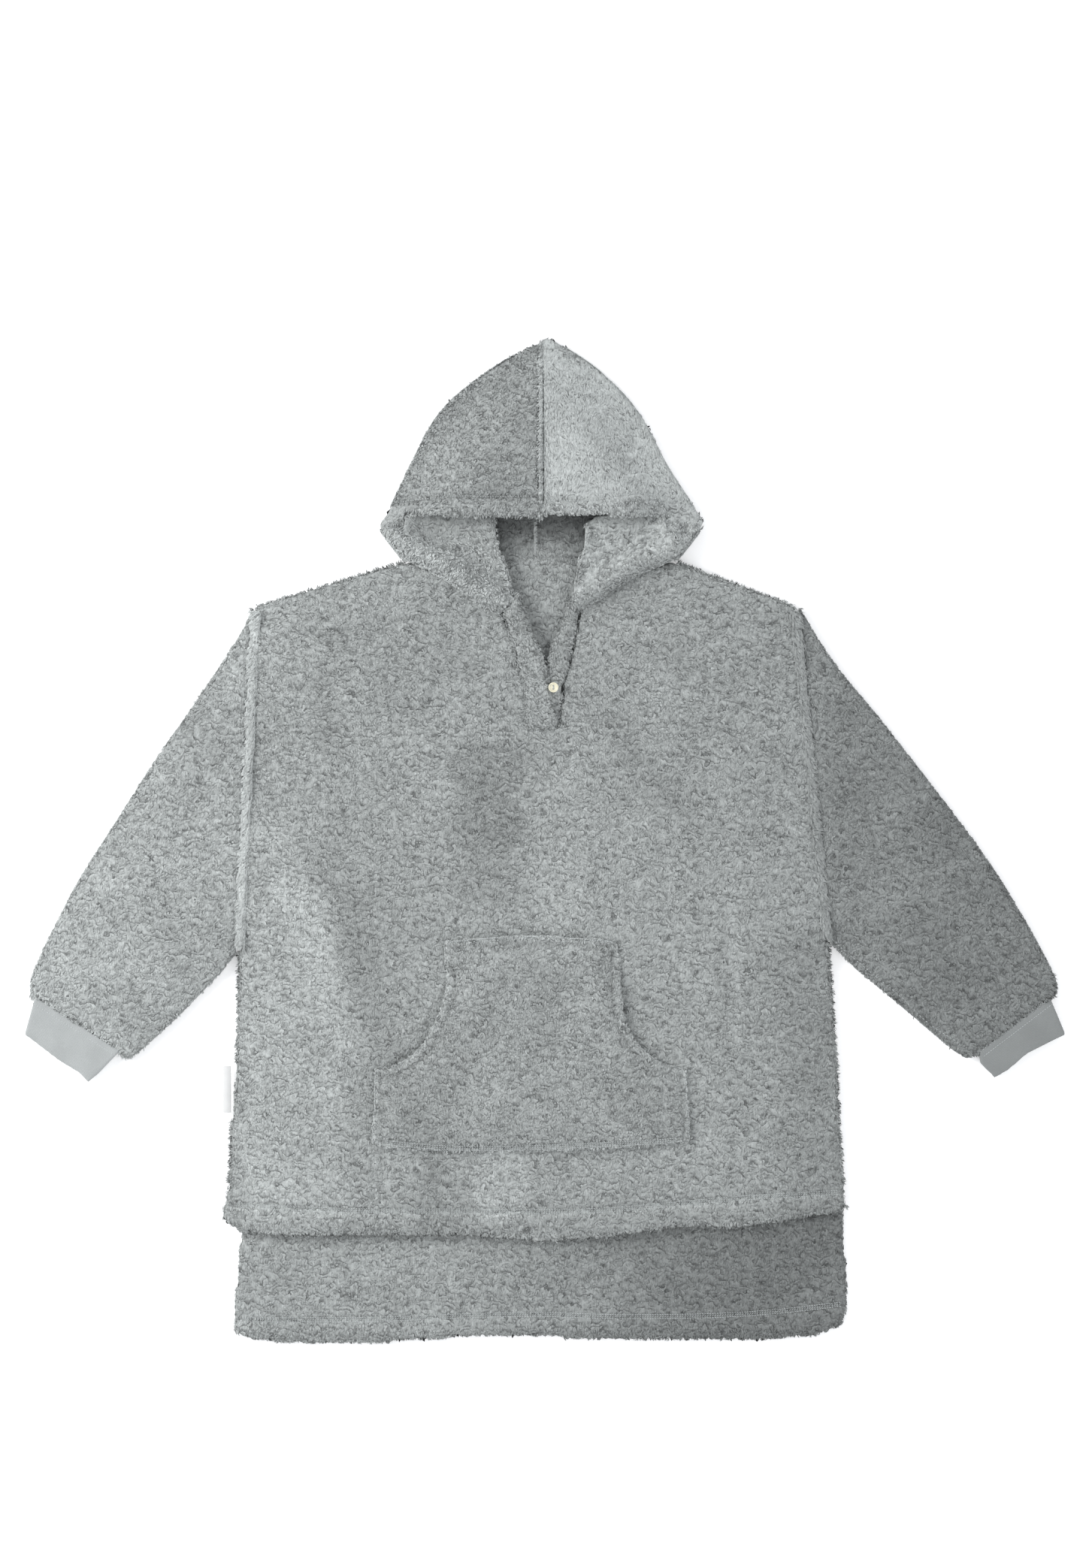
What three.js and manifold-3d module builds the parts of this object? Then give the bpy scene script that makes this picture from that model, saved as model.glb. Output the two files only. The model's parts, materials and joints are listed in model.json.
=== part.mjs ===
// A hooded fleece pullover robe, lying flat on its back.
// Millimetres. +X is the reader's right, +Y runs from hem to hood, and +Z points up out of the surface that
// it lies on.
// The origin is on the centre line of the back panel's underside, at chest height.

import * as THREE from 'three';
import { mergeVertices } from 'three/addons/utils/BufferGeometryUtils.js';
import Module from 'manifold-3d';

const wasm = await Module();
wasm.setup();

// ---------------------------------------------------------------- driving dimensions

const PLY = 6;                     // one layer of fleece with its pile
const BODY_TOP = 20;               // height of the flattened body: two plies and the air between them
const AIR_LOW = PLY;               // the air between the plies
const AIR_HIGH = BODY_TOP - PLY;
const GAP = 0.3;                   // clearance between neighbouring pieces
const TRIM_LOW = BODY_TOP + GAP;   // trim that lies on the front panel starts here

const HOOD_TOP = 40;               // the hood stands a little higher than the body
const HOOD_WALL = 8;               // width of the rolled edge round the hood
const NECK_Y = 335;                // the line on which the hood folds forward
const FOLD_GAP = 0.7;              // half of the slot between two pieces that fold on each other

const HEM_FOLD_Y = -415;           // the front hem is free below this line
const SEAM_WIDTH = 12;             // width of the joined edges between front and back
const HEM_PLY = 3.3;               // the turned-up hem is pressed thinner than the free cloth
const STITCH = 4;                  // width of a band of stitching
const HEM_STITCH = 3;              // the same, on the hems
const THREAD_RISE = 1;             // how far the hem stitching stands up
const RIDGE = 2;                   // how far a seam ridge stands up

const PLACKET = 4.7;               // height of the placket that lies on top
const LAPEL_TOP = 33;              // the rolled neck edges rise to this height
const POCKET_LOW = 28;             // the pouch pocket stands off the front panel
const POCKET_TOP = 34;
const CUFF_LOW = 4;                // the knitted cuffs are thinner than the sleeves
const CUFF_TOP = 16;
const CUFF_PLY = 2.5;

const BUTTON_AT = [22, 182];
const BUTTON_R = 6;
const BUTTON_LOW = 28;
const BUTTON_TOP = 31;
const BUTTON_HOLE_AT = 1.9;        // the two sewing holes, on either side of the centre
const BUTTON_HOLE_R = 0.9;
const BUTTON_RIM = 1.4;            // width of the raised rim
const BUTTON_DISH = 0.8;           // depth of the dish inside it
const SHANK_R = 1.2;

const PAST = 1;                    // how far a cutting solid runs past what it cuts
const NECK_PAST = 9;               // how far the air in the hood runs past the neck line

const ROUND = 3;                   // points in each stretch of a curve

// ---------------------------------------------------------------- key points, as [x, y]

const NECK = { left: [-151, 334], right: [165, 334] };
const SHOULDER = { left: [-336.5, 281], right: [313.5, 281] };
const UNDERARM = { left: [-356, -133], right: [352, -122] };

// the two side edges of the body, from underarm to hem
const SIDE = {
  left: [[-355.4, -133], [-358, -255], [-364, -345], [-366, -399], [-368, -414.3]],
  right: [[351.4, -122], [357, -201], [361, -255], [365, -345], [369, -399], [371, -414.3]],
};

// where the hood joins the neck, from shoulder to the bottom of the V
const NECKLINE = {
  left: [[-118, 323], [-92, 307], [-67, 287], [-39, 272]],
  right: [[117, 320], [83, 297], [52, 279]],
};

// ---------------------------------------------------------------- materials

const cloth = (name, color, roughness = 0.95) => {
  const material = new THREE.MeshStandardMaterial({ color, roughness, metalness: 0 });
  material.name = name;
  return material;
};
const fleece = () => cloth('fleece', 0x9ba0a0);
const fleeceInside = () => cloth('fleece_inside', 0x949a9a);
const jersey = () => cloth('jersey', 0xa0a5a4, 0.85);
const thread = () => cloth('thread', 0xa9aeae, 0.8);
const buttonResin = () => cloth('button', 0xe4dfc8, 0.35);
const labelSatin = () => cloth('label', 0xf2f2f0, 0.6);

// ---------------------------------------------------------------- helpers

// A closed outline from stretches of points: one point is reached by a line, several by a smooth curve.
function outline(start, ...stretches) {
  const shape = new THREE.Shape();
  shape.moveTo(...start);
  for (const stretch of stretches) {
    if (stretch.length === 1) shape.lineTo(...stretch[0]);
    else shape.splineThru(stretch.map(([x, y]) => new THREE.Vector2(x, y)));
  }
  return shape;
}

const line = (...points) => points.map((point) => [point]);

// The outline pushed up from one height to another.
function slab(shape, low, high) {
  const depth = high - low;
  const geometry = new THREE.ExtrudeGeometry(shape, { depth, bevelEnabled: false, curveSegments: ROUND });
  return solid(geometry.translate(0, 0, low));
}

const box = (x0, y0, x1, y1, low, high) => slab(
  outline([x0, y0], ...line([x1, y0], [x1, y1], [x0, y1])), low, high);

function solid(geometry) {
  geometry.deleteAttribute('normal');
  geometry.deleteAttribute('uv');
  const merged = mergeVertices(geometry, 1e-4);
  return new wasm.Manifold(new wasm.Mesh({
    numProp: 3,
    vertProperties: new Float32Array(merged.attributes.position.array),
    triVerts: new Uint32Array(merged.index.array),
  }));
}

// A band of constant width along a smooth line: half its width to either side of it.
function band(points, width, low, high) {
  const middle = new THREE.SplineCurve(points.map(([x, y]) => new THREE.Vector2(x, y)));
  const steps = points.length === 2 ? 1 : (points.length - 1) * ROUND;
  const one = [];
  const other = [];
  for (let i = 0; i <= steps; i += 1) {
    const at = middle.getPoint(i / steps);
    const along = middle.getTangent(i / steps);
    const side = new THREE.Vector2(-along.y, along.x).multiplyScalar(width / 2);
    one.push(at.clone().add(side));
    other.unshift(at.clone().sub(side));
  }
  return slab(new THREE.Shape([...one, ...other]), low, high);
}

const shifted = (points, dx, dy) => points.map(([x, y]) => [x + dx, y + dy]);
const reversed = (points) => [...points].reverse();

const garment = new THREE.Group();

function add(name, body, material) {
  const mesh = body.getMesh();
  const geometry = new THREE.BufferGeometry();
  geometry.setAttribute('position', new THREE.BufferAttribute(new Float32Array(mesh.vertProperties), 3));
  geometry.setIndex(new THREE.BufferAttribute(new Uint32Array(mesh.triVerts), 1));
  const piece = new THREE.Mesh(geometry.toNonIndexed(), material);
  piece.geometry.computeVertexNormals();
  piece.name = name;
  garment.add(piece);
}

// ---------------------------------------------------------------- back panel, tail and its hems

function makeBack() {
  const tail = outline(
    NECK.left,
    ...line(SHOULDER.left),
    ...line(SIDE.left[0]),
    SIDE.left.slice(1),
    ...line([-354, -470], [-364, -583]),
    [
      [-359, -592], [-315, -603], [-192, -604], [-73, -597],
      [56, -599], [223, -601], [327, -596], [370, -583],
    ],
    ...line([375, -566], [372, -440]),
    reversed(SIDE.right.slice(1)),
    ...line(SIDE.right[0], SHOULDER.right, NECK.right),
  );
  add('back_panel', slab(tail, 0, PLY), fleece());

  const hemTop = [[366, -554], [253, -566], [104, -569], [-23, -566], [-192, -572], [-349, -573]];
  const hem = outline(
    [-358, -588],
    [[-315, -600], [-192, -601], [-73, -594], [56, -596], [223, -598], [327, -593], [366, -582]],
    ...line(hemTop[0]),
    hemTop.slice(1),
  );
  add('back_hem', slab(hem, PLY + GAP, PLY + HEM_PLY), fleeceInside());
  const onHem = PLY + HEM_PLY + GAP;
  const stitching = band(shifted(hemTop, 0, -4), HEM_STITCH, onHem, onHem + THREAD_RISE);
  add('back_hem_stitching', stitching, thread());

  add('left_vent_hem', band([[-349.5, -474], [-354, -568]], 7, PLY + GAP, PLY + HEM_PLY), fleeceInside());
  add('right_vent_hem', band([[366.5, -446], [369, -549]], 7, PLY + GAP, PLY + HEM_PLY), fleeceInside());

  const neckSeam = [[-138, 325], [-75, 316], [0, 312], [80, 316], [150, 325]];
  add('back_neck_seam', band(neckSeam, STITCH, PLY + GAP, PLY + GAP + RIDGE), thread());
}

// ---------------------------------------------------------------- front panel with its neck opening

function makeFront() {
  const panel = outline(
    NECK.left,
    ...line(SHOULDER.left, SIDE.left[0]),
    SIDE.left.slice(1),
    ...line(SIDE.right.at(-1)),
    reversed(SIDE.right).slice(1),
    ...line(SHOULDER.right, NECK.right),
    ...line(...NECKLINE.right),
    ...line([54, 272], [48, 248], [41, 212], [33, 187], [28, 133]),
    ...line([-8, 133], [-7, 187], [-15, 207], [-22, 238], [-38, 268]),
    ...line(...reversed(NECKLINE.left)),
  );
  add('front_panel', slab(panel, AIR_HIGH, BODY_TOP), fleece());
}

// ---------------------------------------------------------------- seams that join front and back

function makeSeams() {
  for (const side of ['left', 'right']) {
    const inward = side === 'left' ? 1 : -1;
    const edge = shifted(SIDE[side], inward * (SEAM_WIDTH / 2 + 0.5), 0);
    add(`${side}_side_seam`, band(edge, SEAM_WIDTH, AIR_LOW + GAP, AIR_HIGH - GAP), fleeceInside());

    const [neckX, neckY] = NECK[side];
    const [tipX, tipY] = SHOULDER[side];
    const shoulder = [[neckX - inward * 4, neckY - 7], [tipX + inward * 14, tipY - 4]];
    const seamBand = band(shoulder, SEAM_WIDTH - 2, AIR_LOW + GAP, AIR_HIGH - GAP);
    add(`${side}_shoulder_seam`, seamBand, fleeceInside());

    const [underX, underY] = UNDERARM[side];
    const armhole = [[tipX + inward * 4, tipY - 6], [underX + inward * 4, underY + 4]];
    add(`${side}_armhole_seam`, band(armhole, STITCH, TRIM_LOW, TRIM_LOW + RIDGE), fleece());
  }
}

// ---------------------------------------------------------------- front hem, free between the side vents

function makeFrontHem() {
  const foldLeft = [-368, HEM_FOLD_Y - FOLD_GAP];
  const foldRight = [371, HEM_FOLD_Y - FOLD_GAP];
  const flap = outline(
    foldLeft,
    ...line([-374, -436], [-375, -455]),
    [[-352, -468], [-266, -475], [-93, -474], [31, -480], [179, -464], [253, -463], [366, -447]],
    ...line([374, -440], foldRight),
  );
  add('front_hem_panel', slab(flap, AIR_HIGH, BODY_TOP), fleece());

  const rowOfStitches = [
    [-359, -437], [-241, -443], [-93, -444], [56, -444], [154, -437], [253, -428], [364, -422],
  ];
  const allowance = outline(
    rowOfStitches[0],
    ...line([-362, -455]),
    [[-345, -464], [-266, -471], [-93, -470], [31, -476], [179, -460], [253, -459], [362, -443]],
    ...line(rowOfStitches.at(-1)),
    reversed(rowOfStitches).slice(1),
  );
  add('front_hem_allowance', slab(allowance, AIR_HIGH - HEM_PLY, AIR_HIGH - GAP), fleeceInside());
  const stitching = band(shifted(rowOfStitches, 0, -1), HEM_STITCH, TRIM_LOW, TRIM_LOW + THREAD_RISE);
  add('front_hem_stitching', stitching, thread());
}

// ---------------------------------------------------------------- neck: lapels, plackets, button

function makeNeck() {
  const onTorso = NECK_Y - FOLD_GAP;
  const leftLapel = outline(
    [-152, onTorso],
    [[-121, 319], [-95, 303], [-70, 284], [-43, 271]],
    ...line([-25, 288]),
    [[-32, 315], [-38, onTorso]],
  );
  add('left_lapel', slab(leftLapel, TRIM_LOW, LAPEL_TOP), fleece());

  const rightLapel = outline(
    [165, onTorso],
    [[120, 316], [86, 293], [54, 275]],
    ...line([45, 281]),
    [[48, 310], [52, onTorso]],
  );
  add('right_lapel', slab(rightLapel, TRIM_LOW, LAPEL_TOP), fleece());

  const leftPlacket = outline(
    [-40, 266],
    ...line([-27, 238], [-20, 207], [-13, 187], [-14, 130], [25, 130], [26, 149]),
    [[18, 187], [14, 207], [5, 230], [-7, 257], [-20, 283]],
  );
  add('left_placket', slab(leftPlacket, TRIM_LOW, TRIM_LOW + PLACKET), fleece());

  const rightPlacket = outline(
    [53, 273],
    ...line([47.4, 248], [40.4, 212], [32.4, 187], [27.4, 134]),
    ...line([4, 134], [6, 187], [14, 207], [19, 230], [44, 276]),
  );
  add('right_placket', slab(rightPlacket, AIR_HIGH + GAP, BODY_TOP), fleece());

  const boxOutside = box(-10, 133, 22, 149, TRIM_LOW + PLACKET + GAP, TRIM_LOW + PLACKET + 1.2);
  const boxInside = box(-8.4, 134.6, 20.4, 147.4, TRIM_LOW, TRIM_LOW + PLACKET + 3);
  add('placket_stitch_box', boxOutside.subtract(boxInside), thread());

  const [x, y] = BUTTON_AT;
  const disc = (radius, low, high, dy = 0) => {
    const circle = new THREE.Shape().absarc(x, y + dy, radius, 0, Math.PI * 2, false);
    const depth = high - low;
    const geometry = new THREE.ExtrudeGeometry(circle, { depth, bevelEnabled: false, curveSegments: 24 });
    return solid(geometry.translate(0, 0, low));
  };
  let button = disc(BUTTON_R, BUTTON_LOW, BUTTON_TOP);
  button = button.subtract(disc(BUTTON_R - BUTTON_RIM, BUTTON_TOP - BUTTON_DISH, BUTTON_TOP + PAST));
  for (const dy of [-BUTTON_HOLE_AT, BUTTON_HOLE_AT]) {
    button = button.subtract(disc(BUTTON_HOLE_R, BUTTON_LOW - PAST, BUTTON_TOP + PAST, dy));
  }
  add('button', button, buttonResin());
  add('button_thread', disc(SHANK_R, BODY_TOP + GAP, BUTTON_LOW - GAP), thread());
}

// ---------------------------------------------------------------- pouch pocket, open at both curved sides

function makePocket() {
  const leftOpening = [[-107, -161], [-109, -189], [-121, -220], [-139, -249], [-166, -268], [-193, -273]];
  const rightOpening = [[103, -161], [105, -194], [112, -225], [127, -248], [153, -266], [181, -273]];
  const panel = outline(
    [-110, -121],
    [[-56, -116], [7, -114], [96, -120]],
    ...line([101, -140]),
    rightOpening,
    ...line([186, -361]),
    [[131, -367], [49, -371], [-34, -374], [-117, -373], [-195, -366]],
    ...line([-193, -273]),
    reversed(leftOpening).slice(1),
  );
  add('pocket_panel', slab(panel, POCKET_LOW, POCKET_TOP), fleece());

  const seamTop = POCKET_LOW - GAP;
  const top = [[-106, -126], [-56, -121], [7, -119], [92, -125]];
  const bottom = [[-178, -362], [-117, -368], [-34, -369], [49, -366], [131, -362], [170, -359]];
  add('pocket_top_seam', band(top, 8, TRIM_LOW, seamTop), fleeceInside());
  add('pocket_bottom_seam', band(bottom, 8, TRIM_LOW, seamTop), fleeceInside());
  add('pocket_left_seam', band([[-188, -278], [-190, -362]], 8, TRIM_LOW, seamTop), fleeceInside());
  add('pocket_right_seam', band([[177, -278], [181, -357]], 8, TRIM_LOW, seamTop), fleeceInside());

  // the turned-in edge of each opening hangs just under the panel
  const turnedIn = (points, inward) => band(shifted(points, inward * 7, -3), 10, seamTop - 2, seamTop);
  add('pocket_left_facing', turnedIn(leftOpening.slice(0, 5), 1), fleeceInside());
  add('pocket_right_facing', turnedIn(rightOpening.slice(0, 5), -1), fleeceInside());
}

// ---------------------------------------------------------------- hood: two panels round an open cavity

function makeHood() {
  const base = NECK_Y + FOLD_GAP;
  const leftEdge = [
    [-158, base], [-185, 373], [-175, 393], [-149, 447], [-121, 501], [-89, 537], [-43, 573], [9, 601],
  ];
  const rightEdge = [[60, 573], [103, 537], [131, 501], [159, 447], [193, 395], [200, 376], [170, base]];
  const whole = slab(outline([0, base], ...line(leftEdge[0]), leftEdge.slice(1), rightEdge), 0, HOOD_TOP);

  const airBase = base - NECK_PAST;
  const airEdge = [
    [-146, airBase], [-174, 374], [-165, 393], [-140, 443], [-113, 496], [-83, 529], [-39, 563], [9, 590],
  ];
  const airBack = [[55, 564], [96, 530], [122, 496], [150, 444], [182, 394], [189, 376], [157, airBase]];
  const hollow = outline([0, airBase], ...line(airEdge[0]), airEdge.slice(1), airBack);
  const air = slab(hollow, PLY, HOOD_TOP - PLY);

  // the face opening lets the inside of the back show below the brim
  const face = slab(outline(
    [-38, airBase],
    ...line([-48, 372]),
    [[-120, 374], [-166, 369]],
    ...line([-174, 378]),
    [[-103, 381], [-49, 381], [4, 380], [46, 375], [75, 378], [126, 385], [178, 374]],
    ...line([186, 366]),
    [[120, 376], [60, 366]],
    ...line([52, airBase]),
  ), HOOD_TOP - PLY - PAST, HOOD_TOP + PAST);
  const shell = whole.subtract(air).subtract(face);

  const seamWidth = 5;
  const half = seamWidth / 2;
  const far = 400;
  const leftHalf = box(-far, 0, -half - GAP, 2 * far, -PAST, HOOD_TOP + PAST);
  const rightHalf = box(half + GAP, 0, far, 2 * far, -PAST, HOOD_TOP + PAST);
  add('hood_left_panel', shell.intersect(leftHalf), fleece());
  add('hood_right_panel', shell.intersect(rightHalf), fleece());

  const seamStrip = box(-half, 0, half, 2 * far, -PAST, HOOD_TOP + PAST);
  add('hood_centre_seam', shell.intersect(seamStrip), fleece());

  const backSeam = band([[2, 345], [2, 560]], STITCH, PLY + GAP, PLY + RIDGE);
  add('hood_back_seam', backSeam, thread());

  // the turned-back hem round the brim, on top of each panel
  const brimLow = HOOD_TOP + GAP;
  const leftBrim = [[-168, 388], [-103, 394], [-49, 393], [-4, 394]];
  const rightBrim = [[4, 391], [46, 388], [75, 390], [126, 398], [180, 388]];
  add('hood_left_brim', band(leftBrim, 2 * HOOD_WALL, brimLow, brimLow + 3), fleece());
  add('hood_right_brim', band(rightBrim, 2 * HOOD_WALL, brimLow, brimLow + 3), fleece());
}

// ---------------------------------------------------------------- sleeves and cuffs: flattened tubes

function makeSleeve(side, points) {
  const out = side === 'left' ? -1 : 1;
  const [tipX, tipY] = SHOULDER[side];
  const [underX, underY] = UNDERARM[side];
  const tip = [tipX + out * 2 * FOLD_GAP, tipY];
  const under = [underX + out * 2 * FOLD_GAP, underY];

  const edge = outline(tip, points.outer, ...line(...points.wrist), points.lower, ...line(under));
  const whole = slab(edge, 0, BODY_TOP);
  const air = slab(outline(points.air[0], ...line(...points.air.slice(1))), AIR_LOW, AIR_HIGH);
  add(`${side}_sleeve`, whole.subtract(air), fleece());

  add(`${side}_underarm_seam`, band(points.seam, STITCH, TRIM_LOW, TRIM_LOW + RIDGE), thread());

  const cuff = slab(outline(points.cuff[0], ...line(...points.cuff.slice(1))), CUFF_LOW, CUFF_TOP);
  const mouth = outline(points.hand[0], ...line(...points.hand.slice(1)));
  const hand = slab(mouth, CUFF_LOW + CUFF_PLY, CUFF_TOP - CUFF_PLY);
  const strip = outline(points.ring[0], ...line(...points.ring.slice(1)));
  const ring = slab(strip, CUFF_LOW - PAST, CUFF_TOP + PAST);
  add(`${side}_cuff`, cuff.subtract(hand), jersey());
  add(`${side}_cuff_seam`, ring.subtract(hand), thread());
}

function makeSleeves() {
  makeSleeve('left', {
    outer: [
      [-352, 247], [-410, 159], [-448, 105], [-506, 15],
      [-551, -57], [-596, -147], [-605, -174], [-603, -190],
    ],
    wrist: [[-594, -192], [-500, -252]],
    lower: [[-492, -260], [-481, -258], [-430, -212], [-375, -156]],
    air: [
      [-330, 262], [-350, 226], [-444, 90], [-572, -120],
      [-598, -198], [-502, -258], [-470, -236], [-350, -118],
    ],
    seam: [[-488, -247], [-461, -226], [-421, -189], [-384, -150], [-361, -130]],
    ring: [[-600.5, -190.6], [-602, -194.5], [-500, -259.5], [-497, -256.5]],
    cuff: [
      [-602.6, -196.2], [-612, -234], [-570, -266], [-545, -281], [-536, -292], [-524, -281], [-501, -261.2],
    ],
    hand: [
      [-592, -180], [-603, -231], [-614, -244], [-534, -300], [-527, -278], [-505, -255], [-490, -236],
    ],
  });
  makeSleeve('right', {
    outer: [
      [355, 215], [404, 155], [468, 74], [540, -22], [580, -86], [605, -130], [625, -172], [622, -188],
    ],
    wrist: [[612, -194], [536, -252]],
    lower: [[527, -258], [508, -256], [440, -199], [391, -159]],
    air: [[310, 262], [334, 230], [460, 66], [572, -92], [613, -200], [535, -262], [500, -240], [348, -108]],
    seam: [[512, -246], [472, -221], [440, -190], [391, -150], [358, -122]],
    ring: [[618.5, -191.5], [621, -195], [537, -258.8], [533.5, -256.5]],
    cuff: [[621.5, -197], [636, -234], [590, -257], [567, -277], [551, -286], [534, -268], [537, -261]],
    hand: [[610, -180], [627, -232], [637, -244], [552, -296], [541, -268], [542, -255], [530, -238]],
  });
}

// ---------------------------------------------------------------- side label

function makeLabel() {
  add('side_label', box(-374.5, -328, -365, -272, 9.4, 10.6), labelSatin());
}

makeBack();
makeFront();
makeSeams();
makeFrontHem();
makeNeck();
makePocket();
makeHood();
makeSleeves();
makeLabel();

export default garment;
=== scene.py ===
import json
import math

import bmesh
import bpy
import numpy as np
from mathutils import Matrix, Vector
from mathutils.bvhtree import BVHTree
from mathutils.kdtree import KDTree


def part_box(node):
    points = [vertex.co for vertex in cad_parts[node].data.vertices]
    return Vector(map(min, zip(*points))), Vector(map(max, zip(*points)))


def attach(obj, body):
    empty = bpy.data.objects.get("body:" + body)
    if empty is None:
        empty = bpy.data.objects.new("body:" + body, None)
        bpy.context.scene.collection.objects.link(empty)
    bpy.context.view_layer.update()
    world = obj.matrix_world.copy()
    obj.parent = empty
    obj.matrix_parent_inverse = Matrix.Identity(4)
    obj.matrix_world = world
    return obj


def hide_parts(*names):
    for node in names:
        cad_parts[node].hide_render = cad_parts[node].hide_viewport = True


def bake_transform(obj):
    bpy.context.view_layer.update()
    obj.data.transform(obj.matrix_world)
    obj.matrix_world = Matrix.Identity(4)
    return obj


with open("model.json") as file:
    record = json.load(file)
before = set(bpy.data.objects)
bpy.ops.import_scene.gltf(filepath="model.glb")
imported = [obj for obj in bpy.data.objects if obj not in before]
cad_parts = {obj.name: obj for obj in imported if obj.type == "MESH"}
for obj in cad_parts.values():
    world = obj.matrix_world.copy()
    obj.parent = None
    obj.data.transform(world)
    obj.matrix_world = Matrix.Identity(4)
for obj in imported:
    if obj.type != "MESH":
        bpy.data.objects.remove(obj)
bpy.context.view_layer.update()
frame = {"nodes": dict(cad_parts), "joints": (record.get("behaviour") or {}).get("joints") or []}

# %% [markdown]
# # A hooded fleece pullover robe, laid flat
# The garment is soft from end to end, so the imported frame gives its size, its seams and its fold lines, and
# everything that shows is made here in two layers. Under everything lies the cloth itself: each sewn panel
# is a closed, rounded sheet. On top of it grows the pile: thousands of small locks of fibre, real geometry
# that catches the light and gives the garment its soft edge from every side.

MM = 0.001                       # everything below is thought of in millimetres
joints = {joint["name"]: joint for joint in frame["joints"]}
hem_fold_y = joints["front_hem_lift"]["pos_m"][1]
neck_fold_y = joints["hood_fold"]["pos_m"][1]

# %% [markdown]
# ## Studio
# A flat lay is shot from straight above with a long lens, so that the far hem and the near hood keep the
# same scale. The surface is so bright that it turns white. A large soft light on the left gives the pile
# its light side, and a weaker one on the right keeps the far side open.

# %% Camera, lights and floor
PICTURE_HEIGHT = 2087 * 0.9 * MM   # what the picture's height covers on the surface
CAMERA_LENS = 85
SENSOR = 36
VIEW_CENTRE = (9.5 * MM, 66.5 * MM)
CLOTH_HEIGHT = 0.02
KEY_POWER = 66                   # watts
FILL_POWER = 22
SKY_STRENGTH = 0.82
FLOOR_GREY = (0.93, 0.93, 0.93, 1)
FLOOR_GLOW = 0.3                 # the floor shines a little by itself, so that it turns white


def make_camera():
    data = bpy.data.cameras.new("camera")
    data.lens = CAMERA_LENS
    data.sensor_width = SENSOR
    camera = bpy.data.objects.new("camera", data)
    distance = PICTURE_HEIGHT * CAMERA_LENS / SENSOR
    camera.location = (*VIEW_CENTRE, CLOTH_HEIGHT + distance)
    data.clip_end = 50
    bpy.context.scene.collection.objects.link(camera)
    bpy.context.scene.camera = camera


def area_light(name, place, aim, size, power):
    data = bpy.data.lights.new(name, "AREA")
    data.shape = "DISK"
    data.size = size
    data.energy = power
    light = bpy.data.objects.new(name, data)
    light.location = place
    light.rotation_euler = (Vector(aim) - Vector(place)).to_track_quat("-Z", "Y").to_euler()
    bpy.context.scene.collection.objects.link(light)


def make_floor():
    bm = bmesh.new()
    bmesh.ops.create_grid(bm, x_segments=1, y_segments=1, size=30)
    mesh = bpy.data.meshes.new("floor")
    bm.to_mesh(mesh)
    bm.free()
    floor = bpy.data.objects.new("floor", mesh)
    bpy.context.scene.collection.objects.link(floor)
    paint = bpy.data.materials.new("white surface")
    paint.use_nodes = True
    shader = paint.node_tree.nodes["Principled BSDF"]
    shader.inputs["Base Color"].default_value = FLOOR_GREY
    shader.inputs["Roughness"].default_value = 0.9
    shader.inputs["Emission Color"].default_value = (1, 1, 1, 1)
    shader.inputs["Emission Strength"].default_value = FLOOR_GLOW
    mesh.materials.append(paint)


def make_studio():
    make_camera()
    area_light("key", (-2.5, 1.0, 2.0), (0, 0, 0), 2.0, KEY_POWER)
    area_light("fill", (1.8, -1.5, 3.2), (0, 0, 0), 2.5, FILL_POWER)
    world = bpy.data.worlds.new("studio")
    world.use_nodes = True
    background = world.node_tree.nodes["Background"]
    background.inputs["Color"].default_value = (0.95, 0.97, 1, 1)
    background.inputs["Strength"].default_value = SKY_STRENGTH
    bpy.context.scene.world = world
    bpy.context.scene.view_settings.view_transform = "Standard"
    make_floor()


make_studio()
print("studio ready")

# %% [markdown]
# ## Finishes
# Each effect of the fleece is a node group, so that several materials can share it.

# %% Node helpers
FLEECE = (0.436, 0.456, 0.447)
JERSEY = (0.47, 0.49, 0.485)
THREAD = (0.60, 0.63, 0.625)
RESIN_DARK = (0.70, 0.66, 0.48)
RESIN_PALE = (0.82, 0.79, 0.63)
SATIN = (0.76, 0.76, 0.75)


class Nodes:
    """Adds nodes to a tree and links them in one call."""

    def __init__(self, tree):
        self.tree = tree

    def put(self, socket, value):
        if isinstance(value, bpy.types.NodeSocket):
            self.tree.links.new(value, socket)
        else:
            socket.default_value = value

    def add(self, kind, inputs=None, **settings):
        node = self.tree.nodes.new(kind)
        for key, value in settings.items():
            setattr(node, key, value)
        for key, value in (inputs or {}).items():
            self.put(node.inputs[key], value)
        return node

    def math(self, operation, a, b=0.0, c=0.0, clamp=False):
        return self.add("ShaderNodeMath", {0: a, 1: b, 2: c}, operation=operation, use_clamp=clamp).outputs[0]

    def mix(self, factor, a, b, blend="MIX"):
        node = self.add("ShaderNodeMix", data_type="RGBA", blend_type=blend)
        for key, value in ((0, factor), (6, a), (7, b)):
            self.put(node.inputs[key], value)
        return node.outputs[2]

    def tint(self, color, shade):
        """The colour times a grey value."""
        grey = self.add("ShaderNodeCombineColor", {0: shade, 1: shade, 2: shade}).outputs[0]
        return self.mix(1.0, color, grey, "MULTIPLY")

    def spread(self, value, low, high, to_low, to_high):
        node = self.add("ShaderNodeMapRange", {0: value, 1: low, 2: high, 3: to_low, 4: to_high})
        return node.outputs[0]

    def noise(self, vector, scale, detail=2.0, roughness=0.5):
        inputs = {"Vector": vector, "Scale": scale, "Detail": detail, "Roughness": roughness}
        return self.add("ShaderNodeTexNoise", inputs).outputs[0]


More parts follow.
